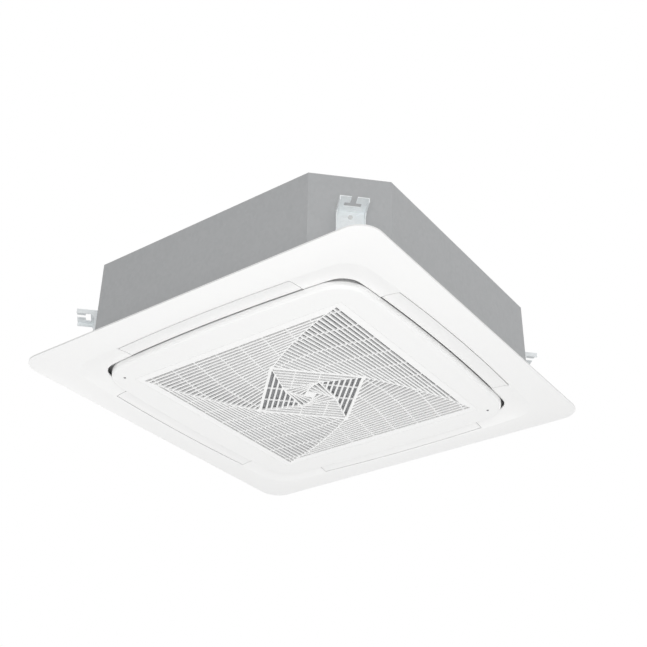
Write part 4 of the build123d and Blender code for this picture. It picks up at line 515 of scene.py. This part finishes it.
moulded(
    "terminal_plastic", (0.64, 0.60, 0.51), per_metre=900.0, depth=0.00004, cloud=0.03
).on("terminal_block")
rubber.on("cable_grommet")

# ---- Panel ---------------------------------------------------------------------------------------
# Square cover moulded in white plastic, about 3 mm thick, with a shallow channel round the grille.
# It is held to the pan by four screws, and dark foam strips seal it against the casing.
panel_white = (0.90, 0.90, 0.895)
moulded("panel_plastic", panel_white, depth=0.00002, cloud=0.008).on("panel_frame")
pores_per_metre = 900.0
seal_foam = Finish("seal_foam", (0.10, 0.10, 0.105), roughness=0.9)
pore = seal_foam.cells(pores_per_metre, "Distance")
# the colour is painted shade, darker in the hollow of each pore and lighter on the walls between
seal_foam.paint(
    colour=seal_foam.mix(pore, (0.06, 0.06, 0.062), (0.15, 0.15, 0.155)),
    roughness=pore * 0.1 + 0.85,
    height=pore,
    depth=0.0003,
).on("panel_seals")
zinc_plate.on("panel_screws")

# ---- Louvers -------------------------------------------------------------------------------------
# Four thin flaps moulded in the panel's white plastic, each carrying on the curve of the channel.
# A small geared stepper motor turns each flap on its end pins.
sides = ("front", "rear", "left", "right")
moulded("louver_plastic", (0.885, 0.885, 0.88), roughness=0.36, depth=0.00002, cloud=0.008).on(
    *(f"louver_{side}" for side in sides)
)
zinc_coat(
    "stepper_can", (0.62, 0.63, 0.64), flake_size=0.004, contrast=0.05, roughness=0.3, metallic=0.85
).on(*(f"louver_motor_{side}" for side in sides))

# ---- Intake grille -------------------------------------------------------------------------------
# White frame with soft rounded edges, and a separate slatted plate behind its opening whose slats
# turn inwards in a swirl. It hangs on two nylon hooks, two sliding latches hold its front edge, and
# two small dark screws in opposite corners lock it.
moulded("grille_plastic", panel_white, roughness=0.40, depth=0.00002, cloud=0.008).on(
    "grille_frame", "grille_latch_left", "grille_latch_right"
)
moulded("slat_plastic", (0.92, 0.92, 0.915), roughness=0.40, depth=0.00002, cloud=0.008).on(
    "intake_grille"
)
moulded(
    "hook_nylon", (0.34, 0.35, 0.37), roughness=0.4, per_metre=900.0, depth=0.00004, cloud=0.04
).on("grille_hinge_hooks")
drawn_metal("dark_screw_steel", (0.16, 0.16, 0.17), roughness=0.4, metallic=0.8).on(
    "grille_lock_screws"
)

# ---- Air filter ----------------------------------------------------------------------------------
# Grey plastic frame with ribs over a woven net that lies on the back of the grille; it lifts out
# when the grille is down. Through the slats it is the grey surface behind the pattern.
moulded(
    "filter_plastic", (0.42, 0.43, 0.44), roughness=0.5, per_metre=900.0, depth=0.00004, cloud=0.05
).on("filter_frame")

net_pitch = 0.0024
strand_width = 0.0012
strand_thickness = 0.0003
weave_lift = 0.0001
net_low, net_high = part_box("filter_mesh")
net_width = net_high[0] - net_low[0]
net_middle_z = (net_low[2] + net_high[2]) / 2
strand_count = int(net_width / net_pitch)
strand = Matrix.Diagonal((net_width, strand_width, strand_thickness, 1))
net_mesh = bmesh.new()
for angle, lift in ((0.0, weave_lift), (math.pi / 2, -weave_lift)):
    turn = Matrix.Rotation(angle, 4, "Z")
    for number in range(strand_count):
        across = (number + 0.5) * net_width / strand_count - net_width / 2
        spot = Matrix.Translation((0, across, net_middle_z + lift))
        bmesh.ops.create_cube(net_mesh, size=1, matrix=turn @ spot @ strand)
net_data = bpy.data.meshes.new("filter_net")
net_mesh.to_mesh(net_data)
net_mesh.free()
net = bpy.data.objects.new("filter_net", net_data)
scene.collection.objects.link(net)
moulded(
    "filter_net_thread", (0.42, 0.425, 0.435), roughness=0.55, per_metre=1200.0, cloud=0.05
).on(net)
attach(net, "filter")
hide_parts("filter_mesh")
